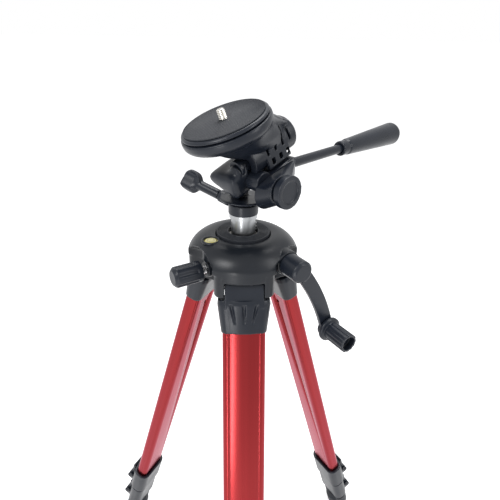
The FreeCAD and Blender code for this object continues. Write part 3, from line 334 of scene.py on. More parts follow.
def build_wear_and_highlight():
    """Compares a rounded normal with the true one: they differ only near a corner."""
    tree, inside, outside = new_group(
        "edge wear", [("Width", FLOAT, 0.0006), ("Breakup", FLOAT, 160.0)], [("Mask", FLOAT)]
    )
    rounded = add_node(tree, "ShaderNodeBevel", samples=4)
    link(tree, inside.outputs["Width"], rounded.inputs["Radius"])
    true = add_node(tree, "ShaderNodeNewGeometry")
    dot = add_node(tree, "ShaderNodeVectorMath", operation="DOT_PRODUCT")
    link(tree, rounded.outputs[0], dot.inputs[0])
    link(tree, true.outputs["Normal"], dot.inputs[1])
    corner = add_node(tree, "ShaderNodeMapRange")
    corner.inputs["From Min"].default_value = WEAR_AND_HIGHLIGHT_START
    corner.inputs["From Max"].default_value = WEAR_AND_HIGHLIGHT_FULL
    link(tree, dot.outputs["Value"], corner.inputs["Value"])
    place = add_node(tree, "ShaderNodeTexCoord")
    patch = add_node(tree, "ShaderNodeTexNoise", Detail=3.0)
    link(tree, place.outputs["Object"], patch.inputs["Vector"])
    link(tree, inside.outputs["Breakup"], patch.inputs["Scale"])
    both = add_node(tree, "ShaderNodeMath", operation="MULTIPLY")
    link(tree, corner.outputs[0], both.inputs[0])
    link(tree, patch.outputs[0], both.inputs[1])
    link(tree, both.outputs[0], outside.inputs["Mask"])
    return tree


wear_and_highlight_group = build_wear_and_highlight()
print("group", wear_and_highlight_group.name)

# %% [markdown]
# Drawing a tube through a die leaves lines along it.  Noise that is squeezed across and stretched
# along gives them.  A leg isn't upright, so the noise leans with it: X and Y slide as Z grows.

# %% Lines left by drawing metal
def build_drawn_lines():
    """Noise stretched along the length.  The stretch is set by three scales, one for each axis."""
    tree, inside, outside = new_group(
        "drawn lines",
        [("Across", FLOAT, 2600.0), ("Along", FLOAT, 12.0), ("Lean X", FLOAT, 0.0), ("Lean Y", FLOAT, 0.0)],
        [("Height", FLOAT), ("Tone", FLOAT)],
    )
    place = add_node(tree, "ShaderNodeTexCoord")
    split = add_node(tree, "ShaderNodeSeparateXYZ")
    link(tree, place.outputs["Object"], split.inputs[0])
    merge = add_node(tree, "ShaderNodeCombineXYZ")
    for axis in ("X", "Y"):
        slide = add_node(tree, "ShaderNodeMath", operation="MULTIPLY_ADD")
        link(tree, split.outputs["Z"], slide.inputs[0])
        link(tree, inside.outputs["Lean " + axis], slide.inputs[1])
        link(tree, split.outputs[axis], slide.inputs[2])
        scaled = add_node(tree, "ShaderNodeMath", operation="MULTIPLY")
        link(tree, slide.outputs[0], scaled.inputs[0])
        link(tree, inside.outputs["Across"], scaled.inputs[1])
        link(tree, scaled.outputs[0], merge.inputs[axis])
    long = add_node(tree, "ShaderNodeMath", operation="MULTIPLY")
    link(tree, split.outputs["Z"], long.inputs[0])
    link(tree, inside.outputs["Along"], long.inputs[1])
    link(tree, long.outputs[0], merge.inputs["Z"])
    fine = add_node(tree, "ShaderNodeTexNoise", Scale=1.0, Detail=2.0)
    broad = add_node(tree, "ShaderNodeTexNoise", Scale=0.12, Detail=1.0)
    for noise in (fine, broad):
        link(tree, merge.outputs[0], noise.inputs["Vector"])
    link(tree, fine.outputs[0], outside.inputs["Height"])
    link(tree, broad.outputs[0], outside.inputs["Tone"])
    return tree


lines_group = build_drawn_lines()
print("group", lines_group.name)

# %% [markdown]
# ## Finishes
# Each finish keeps its own Principled shader and takes masks and heights from the groups.  Black
# plastic has a faint blue cast and goes lighter at its corners, where hands rub it and where a
# painted highlight stands for the light along the edges.

# %% Finish builders
MIX_LOW, MIX_HIGH, MIX_RESULT = 6, 7, 2       # colour sockets of a Mix node


def mix_colors(tree, factor, low, high):
    mix = add_node(tree, "ShaderNodeMix", data_type="RGBA")
    link(tree, factor, mix.inputs["Factor"])
    mix.inputs[MIX_LOW].default_value = low
    mix.inputs[MIX_HIGH].default_value = high
    return mix.outputs[MIX_RESULT]


def range_of(tree, value, low, high, start=0.3, end=0.7):
    """A value between start and end becomes one between low and high."""
    node = add_node(tree, "ShaderNodeMapRange")
    node.inputs["From Min"].default_value = start
    node.inputs["From Max"].default_value = end
    node.inputs["To Min"].default_value = low
    node.inputs["To Max"].default_value = high
    link(tree, value, node.inputs["Value"])
    return node.outputs[0]


def new_finish(name):
    material = bpy.data.materials.new(name)
    material.use_nodes = True
    return material, material.node_tree, material.node_tree.nodes["Principled BSDF"]


def bump(tree, shader, height, strength, distance):
    node = add_node(tree, "ShaderNodeBump", Strength=strength, Distance=distance)
    link(tree, height, node.inputs["Height"])
    link(tree, node.outputs[0], shader.inputs["Normal"])


print("materials so far", len(bpy.data.materials))

# %% [markdown]
# The black parts come in three finishes: satin for the moulded parts, one with half the grain for the
# crown, and dull for rubber.  The bearings are a pale natural plastic.  Each has a dark and a light
# tone, a tone for corners that are rubbed and carry a painted highlight, and the roughness range
# between smooth and rough.

# %% Plastics and rubber
BLACK_SPECULAR = 0.30
GRAIN_STRENGTH = 0.35


def plastic(name, dark, light, worn_and_highlight, smooth, rough, grain_scale=900.0, relief=0.00004):
    material, tree, shader = new_finish(name)
    grain = use_group(tree, grain_group, Scale=grain_scale)
    wear_and_highlight = use_group(tree, wear_and_highlight_group)
    base = mix_colors(tree, grain.outputs["Cloud"], dark, light)
    # Corners take the lighter tone: wear, and also a painted highlight along every edge.
    rubbed_and_highlight = add_node(tree, "ShaderNodeMix", data_type="RGBA")
    link(tree, wear_and_highlight.outputs["Mask"], rubbed_and_highlight.inputs["Factor"])
    link(tree, base, rubbed_and_highlight.inputs[MIX_LOW])
    rubbed_and_highlight.inputs[MIX_HIGH].default_value = worn_and_highlight
    link(tree, rubbed_and_highlight.outputs[MIX_RESULT], shader.inputs["Base Color"])
    link(tree, range_of(tree, grain.outputs["Cloud"], smooth, rough), shader.inputs["Roughness"])
    bump(tree, shader, grain.outputs["Height"], GRAIN_STRENGTH, relief)
    return material


# The last colour of each finish is its corner tone: wear, and also a painted highlight.
black_plastic = plastic(
    "satin black plastic",
    dark=(0.0070, 0.0095, 0.0155, 1), light=(0.0110, 0.0142, 0.0215, 1), worn_and_highlight=(0.046, 0.054, 0.070, 1),
    smooth=0.27, rough=0.37,
)
crown_plastic = plastic(
    "smooth black plastic",
    dark=(0.0055, 0.0072, 0.0105, 1), light=(0.0085, 0.0108, 0.0152, 1), worn_and_highlight=(0.034, 0.040, 0.050, 1),
    smooth=0.31, rough=0.40, relief=0.00002,
)
soft_rubber = plastic(
    "black rubber",
    dark=(0.0135, 0.0155, 0.0205, 1), light=(0.0190, 0.0215, 0.0270, 1), worn_and_highlight=(0.032, 0.036, 0.044, 1),
    smooth=0.50, rough=0.62, grain_scale=1400.0,
)
natural_plastic = plastic(
    "natural bearing plastic",
    dark=(0.62, 0.60, 0.55, 1), light=(0.70, 0.68, 0.63, 1), worn_and_highlight=(0.75, 0.73, 0.68, 1),
    smooth=0.4, rough=0.5,
)
for finish in (black_plastic, crown_plastic, soft_rubber):
    finish.node_tree.nodes["Principled BSDF"].inputs["Specular IOR Level"].default_value = BLACK_SPECULAR
print("materials so far", len(bpy.data.materials))

# %% [markdown]
# The silver tubes are satin, and the steel and the plated thread are brighter.  Anodising grows a
# clear layer on aluminium, which a dye turns red, so the red tubes get a light coat over the metal.

# %% Metals
LINE_STRENGTH = 0.12
LINE_RELIEF = 0.00002
COAT_WEIGHT = 0.25
COAT_ROUGHNESS = 0.2
EDGE_TINT = (0.85, 0.55, 0.62, 1)


def metal(name, dark, light, smooth, rough, across, along, lean=(0.0, 0.0)):
    material, tree, shader = new_finish(name)
    lines = use_group(tree, lines_group, Across=across, Along=along)
    lines.inputs["Lean X"].default_value = lean[0]
    lines.inputs["Lean Y"].default_value = lean[1]
    link(tree, mix_colors(tree, lines.outputs["Tone"], dark, light), shader.inputs["Base Color"])
    link(tree, range_of(tree, lines.outputs["Height"], smooth, rough), shader.inputs["Roughness"])
    shader.inputs["Metallic"].default_value = 1.0
    bump(tree, shader, lines.outputs["Height"], LINE_STRENGTH, LINE_RELIEF)
    return material


silver_metal = metal(
    "satin silver tube", dark=(0.36, 0.37, 0.38, 1), light=(0.42, 0.43, 0.44, 1),
    smooth=0.28, rough=0.34, across=1400.0, along=3.0,
)
bright_steel = metal(
    "bright steel", dark=(0.52, 0.52, 0.53, 1), light=(0.66, 0.66, 0.67, 1),
    smooth=0.22, rough=0.32, across=1500.0, along=900.0,
)
bright_chrome = metal(
    "plated thread", dark=(0.62, 0.60, 0.55, 1), light=(0.76, 0.74, 0.69, 1),
    smooth=0.16, rough=0.24, across=1800.0, along=1800.0,
)
red_metal = {}
for leg in LEGS:
    slope = joint_axis(leg + "_middle_slide")
    red_metal[leg] = metal(
        "red anodised " + leg, dark=(0.205, 0.012, 0.014, 1), light=(0.265, 0.017, 0.019, 1),
        smooth=0.22, rough=0.28, across=1500.0, along=5.0, lean=(-slope.x / slope.z, -slope.y / slope.z),
    )
    shader = red_metal[leg].node_tree.nodes["Principled BSDF"]
    shader.inputs["Coat Weight"].default_value = COAT_WEIGHT
    shader.inputs["Coat Roughness"].default_value = COAT_ROUGHNESS
    shader.inputs["Specular Tint"].default_value = EDGE_TINT
print("materials so far", len(bpy.data.materials))

# %% [markdown]
# The bubble level holds a yellow-green spirit.  Seen from outside it is a glossy, slightly cloudy
# colour, so a coated surface does.  The bubble, made later, is a paler one with no coat.

# %% Liquid of the bubble level
def liquid_finish(name, dark, light, rough, coat):
    material, tree, shader = new_finish(name)
    cloud = use_group(tree, grain_group)
    link(tree, mix_colors(tree, cloud.outputs["Cloud"], dark, light), shader.inputs["Base Color"])
    shader.inputs["Roughness"].default_value = rough
    shader.inputs["Coat Weight"].default_value = coat
    return material


liquid = liquid_finish("level liquid", (0.46, 0.41, 0.10, 1), (0.56, 0.50, 0.17, 1), 0.08, 1.0)
print("finish", liquid.name)

# %% [markdown]
# ## Which finish goes where
# The record names a finish for each part.  A small lookup turns that name into one of our materials,
# so that a new piece which stands for a part gets the same finish as the part had.

# %% Finish of each part
finish_of_slot = {
    "black_plastic": black_plastic, "crown_plastic": crown_plastic, "rubber": soft_rubber,
    "bush": natural_plastic, "silver_tube": silver_metal, "steel": bright_steel,
    "chrome": bright_chrome, "vial": liquid,
}
slot_of_node = {part["node"]: part["material_slot"] for part in frame["record"]["subparts"]}
bodies = frame["record"]["behaviour"]["bodies"]
body_of_node = {node: body for body, nodes in bodies.items() for node in nodes}


def leg_of(node):
    return next((leg for leg in LEGS if node.startswith(leg)), None)


def finish_of(node):
    if slot_of_node[node] == "red_anodised":
        return red_metal[leg_of(node)]
    return finish_of_slot[slot_of_node[node]]


print("slots", len(finish_of_slot) + 1)

# %% [markdown]
# ## Rounded edges from a voxel remesh
# A moulded part has no sharp edge anywhere, and a row of soft highlights along its edges is what makes
# it look real.  A bevel struggles with the long thin triangles of a CAD surface.  A voxel remesh
# doesn't mind them: it rebuilds the skin from small cubes, and a smoothing pass then relaxes every
# edge by about as much as a mould would.  More passes give a softer part.

# %% Soften a part
WELD_DISTANCE = 0.000001      # metres; closer points are the same point


def rebuild_skin(thing, voxel, passes):
    """Voxel remesh and smoothing: voxel is in millimetres, more passes give rounder edges."""
    rebuild = thing.modifiers.new("rebuild", "REMESH")
    rebuild.mode = "VOXEL"
    rebuild.voxel_size = voxel * MM
    rebuild.use_smooth_shade = True
    relax = thing.modifiers.new("relax", "SMOOTH")
    relax.iterations = passes


def soften(thing, voxel, passes):
    """Closes the seams between a CAD part's faces, then rebuilds its skin."""
    thing.modifiers.new("weld", "WELD").merge_threshold = WELD_DISTANCE
    rebuild_skin(thing, voxel, passes)


def baked(thing):
    """The mesh of an object with its modifiers applied."""
    bpy.context.view_layer.update()
    graph = bpy.context.evaluated_depsgraph_get()
    return bpy.data.meshes.new_from_object(thing.evaluated_get(graph))


def settle(thing):
    """Applies an object's modifiers to its own mesh."""
    thing.data = baked(thing)
    thing.modifiers.clear()


def softened_mesh(node, voxel, passes):
    source = frame["nodes"][node]
    soften(source, voxel, passes)
    mesh = baked(source)
    source.modifiers.clear()
    return mesh


print("welds below", WELD_DISTANCE, "m")

# %% [markdown]
# ## Helpers for new pieces
# A few parts need more than a soft edge, so we model them again and let the new piece stand for the
# CAD part, which is then hidden and still counts when bodies collide.  Round parts are turned: a
# profile spins about an axis, and a shape function may push the wall in or out to make flutes or a
# thread.

# %% Put a piece in a part's place
def stand_in(node, mesh):
    piece = bpy.data.objects.new(node + "_looks", mesh)
    bpy.context.collection.objects.link(piece)
    mesh.materials.clear()
    mesh.materials.append(finish_of(node))
    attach(piece, body_of_node[node])
    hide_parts(node)
    return piece


def finish_mesh(bm, name):
    bmesh.ops.recalc_face_normals(bm, faces=bm.faces)
    mesh = bpy.data.meshes.new(name)
    bm.to_mesh(mesh)
    bm.free()
    for face in mesh.polygons:
        face.use_smooth = True
    return mesh


def join_rings(bm, rings, closed):
    """Faces between neighbouring rings, and from the last back to the first if closed."""
    for k in range(len(rings) if closed else len(rings) - 1):
        ring, other = rings[k], rings[(k + 1) % len(rings)]
        for i in range(len(ring)):
            j = (i + 1) % len(ring)
            bm.faces.new((ring[i], ring[j], other[j], other[i]))


# %% [markdown]
# A profile is a list of corners.  Each corner becomes a short curve that starts and ends on its two
# sides.  Spinning the profile makes one ring of points for each row, and faces join the rings.

# %% Rounded corners and turned shapes
SIDE_SHARE = 0.48             # how much of a side one corner may take up


def round_corners(points, radius=0.6, steps=4):
    """Replaces each inner corner of a profile by a short curve.  A point may carry its own radius."""
    done = [points[0][:2]]
    for before, corner, after in zip(points, points[1:], points[2:]):
        middle = Vector(corner[:2])
        first = Vector(before[:2]) - middle
        second = Vector(after[:2]) - middle
        size = corner[2] if len(corner) > 2 else radius
        size = min(size, SIDE_SHARE * first.length, SIDE_SHARE * second.length)
        a = middle + first.normalized() * size
        b = middle + second.normalized() * size
        for i in range(steps + 1):
            t = i / steps
            done.append(tuple(a * (1 - t) ** 2 + middle * 2 * t * (1 - t) + b * t ** 2))
    return done + [points[-1][:2]]


def turned(name, profile, matrix, segments=96, shape=None):
    """Closed turned mesh: the profile lists (radius, height) in millimetres from axis to axis."""
    bm = bmesh.new()
    rings = []
    for radius, height in profile:
        count = segments if radius > 0 else 1
        ring = []
        for i in range(count):
            angle = 2 * math.pi * i / count
            wide = shape(radius, angle, height) if shape and radius > 0 else radius
            spot = Vector((wide * math.cos(angle), wide * math.sin(angle), height)) * MM
            ring.append(bm.verts.new(matrix @ spot))
        rings.append(ring)
    for low, high in zip(rings, rings[1:]):
        for i in range(segments):
            a, b = low[i % len(low)], low[(i + 1) % len(low)]
            c, d = high[(i + 1) % len(high)], high[i % len(high)]
            corners = [a]
            for vertex in (b, c, d):
                if vertex not in corners:
                    corners.append(vertex)
            if len(corners) > 2:
                bm.faces.new(corners)
    return finish_mesh(bm, name)


print("a rounded square corner has", len(round_corners([(0, 0), (1, 0), (1, 1)])) - 2, "points")

# %% [markdown]
# ## The rubber pad of the plate
# The pad grips a camera with fine straight ribs.  They are real here: the top of the pad is a wave, cut
# off by the pad's round edge.  Building it row by row keeps the mesh closed and even.

# %% Ribbed pad
RIB_PITCH = 1.25
RIB_DEPTH = 0.42
RIB_TURN = math.radians(38)
RIB_STEPS = 6                 # rows of points for each rib
PAD_RIM = 0.9                 # smooth border round the ribs
RIB_END = 0.1 * PAD_RIM       # from a rib's end to the border
PAD_CHAMFER = 0.25
PAD_END_DROP = 0.3            # lower ends, where no rib fits
PAD_TIP = 0.2                 # half width of the first and last row


def ribbed_disc(name, radius, bottom, top, matrix):
    """Round pad with ribs along its Y axis."""
    bm = bmesh.new()
    rows = []
    count = int(2 * radius / RIB_PITCH) * RIB_STEPS
    for i in range(count + 1):
        x = -radius + 2 * radius * i / count
        reach = math.sqrt(max(radius ** 2 - x ** 2, PAD_TIP ** 2))
        wave = 0.5 + 0.5 * math.cos(2 * math.pi * x / RIB_PITCH)
        inner = max(reach - PAD_RIM, PAD_TIP / 2)
        crest = top - RIB_DEPTH * wave if reach > PAD_RIM else top - PAD_END_DROP
        half_row = [(inner, crest), (inner + RIB_END, top), (reach, top - PAD_CHAMFER), (reach, bottom)]
        row = [(-y, z) for y, z in reversed(half_row)] + half_row
        rows.append([bm.verts.new(matrix @ (Vector((x, y, z)) * MM)) for y, z in row])
    join_rings(bm, rows, closed=False)
    bm.faces.new(rows[0])
    bm.faces.new(list(reversed(rows[-1])))
    return finish_mesh(bm, name)


pad_low, pad_high = extent("plate_rubber_pad", plate_frame)
pad_radius = pad_high.x / MM
pad_frame = plate_frame @ Matrix.Rotation(RIB_TURN, 4, "Z")
pad_mesh = ribbed_disc("ribbed pad", pad_radius, pad_low.z / MM, pad_high.z / MM, pad_frame)
stand_in("plate_rubber_pad", pad_mesh)
print("pad radius %.1f mm" % pad_radius)

# %% [markdown]
# ## The camera screw
# A quarter-inch thread has twenty turns to the inch.  The wall of a turned shape moves in and out with
# the height and the angle together, which winds the groove round the screw.

# %% Threaded screw
THREAD_PITCH = 1.27
THREAD_DEPTH = 0.62
THREAD_POWER = 0.8            # below one, the crests are sharper than the roots
ROW_STEP = 0.09               # height between two rows of the thread
SCREW_RADIUS = 3.175
HEAD_RADIUS = 7.2
HEAD_HEIGHT = 2.4
NECK_RADIUS = 2.6
NECK_END = 0.6                # below the top of the pad
FIRST_ROW = 0.1
TIP_LENGTH = 0.7
TIP_POINTS = ((0.45, 0.3), (0.95, 0.0))       # how far in, and how far below the end


def thread(radius, angle, height, pitch=THREAD_PITCH, depth=THREAD_DEPTH):
    place = (height / pitch - angle / (2 * math.pi)) % 1.0
    return radius - depth * abs(2 * place - 1) ** THREAD_POWER


screw_low, screw_high = extent("camera_screw", plate_frame)
screw_bottom = screw_low.z / MM
screw_top = screw_high.z / MM
thread_start = pad_high.z / MM - NECK_END
head_top = screw_bottom + HEAD_HEIGHT
profile = [(0, screw_bottom), (HEAD_RADIUS, screw_bottom), (HEAD_RADIUS, head_top)]
profile += [(NECK_RADIUS, head_top), (NECK_RADIUS, thread_start)]
rows = int((screw_top - TIP_LENGTH - thread_start) / ROW_STEP)
profile += [(SCREW_RADIUS, thread_start + FIRST_ROW + ROW_STEP * i) for i in range(rows)]
profile += [(SCREW_RADIUS - inset, screw_top - below) for inset, below in TIP_POINTS] + [(0, screw_top)]


def screw_wall(radius, angle, height):
    return thread(radius, angle, height) if radius == SCREW_RADIUS else radius


stand_in("camera_screw", turned("camera screw", profile, plate_frame, 64, screw_wall))
print("thread rows", rows)

# %% [markdown]
# ## Platform shell
# The shell is one moulding: a dish under the plate, a barrel below it and a web between the two.  We
# start from the CAD mesh, add a block that fills the web out, and rebuild both as one skin.  The web is
# then drawn in a little, so that it curves.  This function says how far: most at mid height, and only
# where the skin faces sideways.

# %% Hollow of the web
def reshape(mesh, matrix, move):
    """Moves each vertex by a function of its place and normal in a coordinate frame, in millimetres."""
    inverse = matrix.inverted()
    turn = inverse.to_3x3()
    back = matrix.to_3x3()
    normals = [turn @ v.normal for v in mesh.vertices]
    for vertex, normal in zip(mesh.vertices, normals):
        place = (inverse @ vertex.co) / MM
        shift = move(place, normal)
        if shift:
            vertex.co += back @ (shift * MM)


shell_low, shell_high = extent("platform_shell", flip_frame)
print("shell in its own frame, mm:", [round(v / MM, 1) for v in (*shell_low, *shell_high)])
WEB_LOW = 12.0
WEB_HIGH = shell_high.z / MM - 4.5
WEB_HOLLOW = 1.0
WEB_POWER = 1.5               # above one, the hollow starts and ends more gently
FACES_UP = 0.6                # a normal's upward part
FACES_SIDEWAYS = 0.35


def hollow_web(place, normal):
    if not WEB_LOW < place.z < WEB_HIGH or normal.z > FACES_UP:
        return None
    side = Vector((normal.x, normal.y, 0))
    if side.length < FACES_SIDEWAYS:
        return None
    height = (place.z - WEB_LOW) / (WEB_HIGH - WEB_LOW)
    return -side.normalized() * WEB_HOLLOW * math.sin(math.pi * height) ** WEB_POWER


# %% [markdown]
# Behind the dish the web runs straight from the rim to the end of the barrel.  A convex block round an
# arc under the rim and two arcs over the barrel joins them before the skin is rebuilt.  The CAD part
# doesn't have this block.

# %% Block between the dish and the barrel
BARREL_ACROSS = 1.8           # barrel axis from the flip axis
BARREL_ABOVE = 3.3
BARREL_RADIUS = 14.5
RIM_ACROSS = -5.0             # middle of the dish from the flip axis
RIM_RADIUS = 33.6
RIM_DROP = 4.2                # below the top of the dish
BLOCK_START = 8.0             # along the barrel, from the flip joint's point
BLOCK_INSET = 0.4
END_ROUND = 3.4
RIM_ARC = range(25, 156, 10)                  # degrees
BARREL_ARC = range(-50, 51, 10)
shell_back = 1 if shell_high.y > -shell_low.y else -1
barrel_back = max(shell_high.y, -shell_low.y) / MM


def web_block():
    """Convex hull of an arc under the rim and two arcs over the barrel."""
    bm = bmesh.new()
    rim = shell_high.z / MM - RIM_DROP
    spots = []
    for angle in RIM_ARC:
        turn = math.radians(angle)
        spots.append((RIM_ACROSS + RIM_RADIUS * math.cos(turn), RIM_RADIUS * math.sin(turn), rim))
    radius = BARREL_RADIUS - BLOCK_INSET
    for y in (BLOCK_START, barrel_back - END_ROUND):
        for angle in BARREL_ARC:
            turn = math.radians(angle)
            across = BARREL_ACROSS + radius * math.sin(turn)
            spots.append((across, y, BARREL_ABOVE + radius * math.cos(turn)))
    for x, y, z in spots:
        bm.verts.new(flip_frame @ (Vector((x, shell_back * y, z)) * MM))
    hull = bmesh.ops.convex_hull(bm, input=bm.verts)
    spare = set(hull["geom_interior"] + hull["geom_unused"])
    bmesh.ops.delete(bm, geom=list(spare), context="VERTS")
    return finish_mesh(bm, "web block")


print("barrel ends %.1f mm from the flip joint's point" % barrel_back)

# %% [markdown]
# The remesh makes one skin of shell and block.  Its cubes are small here, because the slots along the
# barrel are narrow.

# %% Join the block and rebuild the skin
SHELL_VOXEL = 0.5
SHELL_PASSES = 4
bm = bmesh.new()
bm.from_mesh(baked(frame["nodes"]["platform_shell"]))
bmesh.ops.remove_doubles(bm, verts=bm.verts, dist=WELD_DISTANCE)
bm.from_mesh(web_block())
shell = stand_in("platform_shell", finish_mesh(bm, "platform shell"))
rebuild_skin(shell, SHELL_VOXEL, SHELL_PASSES)
settle(shell)
reshape(shell.data, flip_frame, hollow_web)
print("shell faces", len(shell.data.polygons))

# %% [markdown]
# Where the block meets the shell a crease is left.  Many smoothing passes blend it away.  They would
# blur the slots too, so a vertex group holds them to the broad surfaces.

# %% Blend the web
SLOT_SIDE = 5.0               # the slotted side, from the barrel axis
SLOT_TOP = 13.5
BLEND_LOW = 9.0
BLEND_HIGH = WEB_HIGH + 6
BLEND_PASSES = 40
broad = shell.vertex_groups.new(name="broad")
inverse = flip_frame.inverted()
spots = []
for vertex in shell.data.vertices:
    place = (inverse @ vertex.co) / MM
    slotted = place.x > BARREL_ACROSS + SLOT_SIDE and place.z < BARREL_ABOVE + SLOT_TOP
    if BLEND_LOW < place.z < BLEND_HIGH and not slotted:
        spots.append(vertex.index)
broad.add(spots, 1.0, "REPLACE")
blend = shell.modifiers.new("blend the web", "SMOOTH")
blend.vertex_group = "broad"
blend.iterations = BLEND_PASSES
settle(shell)
print("blended points", len(spots))

# %% [markdown]
# ## Leg tubes
# The legs are extruded aluminium: a flat inner side, round corners, and an outer face that bows out
# between two fine grooves.  An extrusion is one outline repeated along a line, so we write the outline
# once and lift it along the leg.  The tube is hollow, with a rivet hole in its inner wall.

# %% Outline of a leg tube
GROOVE_PLACE = 0.70           # share of the half width
GROOVE_WIDTH = 0.42
GROOVE_DEPTH = 0.35
FACE_STEPS = 150
ARC_STEPS = 8
CORNER_SHARE = 0.30           # share of the tube's depth
BOW_SHARE = 0.11


def tube_outline(half, inner, outer, sign):
    """Outline of a leg tube in millimetres, starting at the inner face."""
    depth = outer - inner
    corner = CORNER_SHARE * depth
    bow = BOW_SHARE * depth
    shoulder = outer - bow
    reach = half - corner

    def arc(x, y, start):
        angles = [math.radians(start + 90 * i / ARC_STEPS) for i in range(ARC_STEPS + 1)]
        return [(x + corner * math.cos(a), y + corner * math.sin(a)) for a in angles]

    face = []
    for i in range(1, FACE_STEPS):
        x = reach * (1 - 2 * i / FACE_STEPS)
        groove = math.exp(-((abs(x) - GROOVE_PLACE * half) / GROOVE_WIDTH) ** 2)
        face.append((x, shoulder + bow * (1 - (x / reach) ** 2) - GROOVE_DEPTH * groove))
    points = arc(reach, inner + corner, -90) + arc(reach, shoulder - corner, 0) + face
    points += arc(-reach, shoulder - corner, 90) + arc(-reach, inner + corner, 180)
    return [(x, sign * y) for x, y in points]


print("points across the outer face", FACE_STEPS - 1)

# %% [markdown]
# The outline goes up outside, turns over the rim and comes down again inside, where it is a little
# smaller.  Two more rings near each end keep the shading of the flat rim off the long wall.

# %% Extruded tube
TUBE_WALL = 1.2
END_RINGS = (0.4, 1.2)


def extruded(name, outline, low, high, matrix, wall):
    """Hollow tube between two heights: inside is the same outline, scaled down by the wall."""
    wide = max(x for x, y in outline)
    deep = max(abs(y) for x, y in outline)
    heights = [low, *(low + ring for ring in END_RINGS)]
    heights += [*(high - ring for ring in reversed(END_RINGS)), high]
    stations = [(False, height) for height in heights] + [(True, height) for height in reversed(heights)]
    bm = bmesh.new()
    rings = []
    for inside, height in stations:
        scale_x = (wide - wall) / wide if inside else 1.0
        scale_y = (deep - wall) / deep if inside else 1.0
        spots = [Vector((x * scale_x, y * scale_y, height)) * MM for x, y in outline]
        rings.append([bm.verts.new(matrix @ spot) for spot in spots])
    join_rings(bm, rings, closed=True)
    return finish_mesh(bm, name)


def outward_sign(leg):
    """Plus one when the leg frame's Y points away from the column."""
    away = joint_point(leg + "_spread")
    side = leg_frame[leg].col[1].to_3d()
    return 1 if side.dot(Vector((away.x, away.y, 0))) > 0 else -1


print("tube wall", TUBE_WALL, "mm")

# %% [markdown]
# A Boolean modifier drills the rivet hole.  The bit is a turned pin that starts inside the tube and
# goes through the inner wall only.

# %% Tubes with their rivet holes
RIVET_RADIUS = 2.0
RIVET_BELOW_TOP = 32.0
BIT_START = 2.0               # from the middle of the tube


def drill(piece, bit):
    """Cuts a mesh out of the piece and bakes the result."""
    cutter = bpy.data.objects.new("cutter", bit)
    bpy.context.collection.objects.link(cutter)
    hole = piece.modifiers.new("hole", "BOOLEAN")
    hole.object = cutter
    hole.solver = "EXACT"
    settle(piece)
    bpy.data.objects.remove(cutter)


for leg in LEGS:
    node = leg + "_upper_tube"
    low, high = (corner / MM for corner in extent(node, leg_frame[leg]))
    sign = outward_sign(leg)
    inner, outer = (low.y, high.y) if sign > 0 else (-high.y, -low.y)
    outline = tube_outline(high.x, inner, outer, sign)
    tube = stand_in(node, extruded(node, outline, low.z, high.z, leg_frame[leg], TUBE_WALL))
    drill_frame = leg_frame[leg] @ Matrix.Translation(Vector((0, 0, high.z - RIVET_BELOW_TOP)) * MM)
    drill_frame = drill_frame @ Matrix.Rotation(math.radians(90 * sign), 4, "X")
    bit_end = BIT_START + abs(inner)
    profile = [(0, BIT_START), (RIVET_RADIUS, BIT_START), (RIVET_RADIUS, bit_end), (0, bit_end)]
    drill(tube, turned("drill", profile, drill_frame, 32))
print("tube outline", len(outline), "points")

# %% [markdown]
# ## Leg fittings
# The plastic fitting at the top of each leg has three grooves that run together downwards.  A groove
# is a dent whose depth falls off from its middle line, so we push the softened skin in by that
# formula.  A cutting tool would leave sharp rims, and a moulded groove has none.

# %% Fittings with three scooped grooves
SCOOP_TOP = -13.0
SCOOP_BOTTOM = -30.0
SCOOPS = ((-10.2, -6.6), (0.3, 0.3), (10.8, 7.2))
SCOOP_WIDTH = 1.9
SCOOP_DEPTH = 1.7
SCOOP_TAPER = 0.55            # how much of its width a groove has lost at the bottom
SCOOP_RISE = 0.6              # below one, the deepest place lies nearer the top
SCOOP_BLUNT = 0.7             # below one, the ends are blunter
FACES_OUT = 0.3
FITTING_SOFTNESS = (0.6, 6)


def scooped(sign):
    def move(place, normal):
        if sign * normal.y < FACES_OUT or not SCOOP_BOTTOM < place.z < SCOOP_TOP:
            return None
        along = (SCOOP_TOP - place.z) / (SCOOP_TOP - SCOOP_BOTTOM)
        depth = 0.0
        for top_x, bottom_x in SCOOPS:
            middle = top_x + (bottom_x - top_x) * along
            width = SCOOP_WIDTH * (1 - SCOOP_TAPER * along)
            across = (place.x - middle) / width
            if abs(across) < 1:
                fade = math.sin(math.pi * along ** SCOOP_RISE) ** SCOOP_BLUNT
                depth = SCOOP_DEPTH * (1 - across ** 2) * fade
        return Vector((0, -sign * depth, 0)) if depth else None
    return move


for leg in LEGS:
    mesh = softened_mesh(leg + "_fitting", *FITTING_SOFTNESS)
    reshape(mesh, leg_frame[leg], scooped(outward_sign(leg)))
    stand_in(leg + "_fitting", mesh)
print("grooves", len(SCOOPS) * len(LEGS))

# %% [markdown]
# ## Pan lock wing
# The wing is a paddle that thumb and finger turn, and it is bent like an S so that it can be pushed from
# both sides.  We bend the flat CAD blade by sliding each vertex sideways along a sine.

# %% S-shaped wing
WING_BEND = 2.6
WING_THINNING = 0.45          # share of the thickness that the tips lose
BLADE_HEIGHT = 17.0
BEND_RUN = 6.0                # the bend grows over this height
WING_SOFTNESS = (0.5, 10)
wing_high = extent("pan_lock_wing", wing_frame)[1] / MM
blade_start = wing_high.z - BLADE_HEIGHT
wing_half = wing_high.x


def bent_wing(place, normal):
    if place.z < blade_start:
        return None
    grow = min((place.z - blade_start) / BEND_RUN, 1.0)
    slide = WING_BEND * math.sin(math.pi * place.x / wing_half) * grow
    thin = -WING_THINNING * place.y * (place.x / wing_half) ** 2 * grow
    return Vector((0, slide + thin, 0))


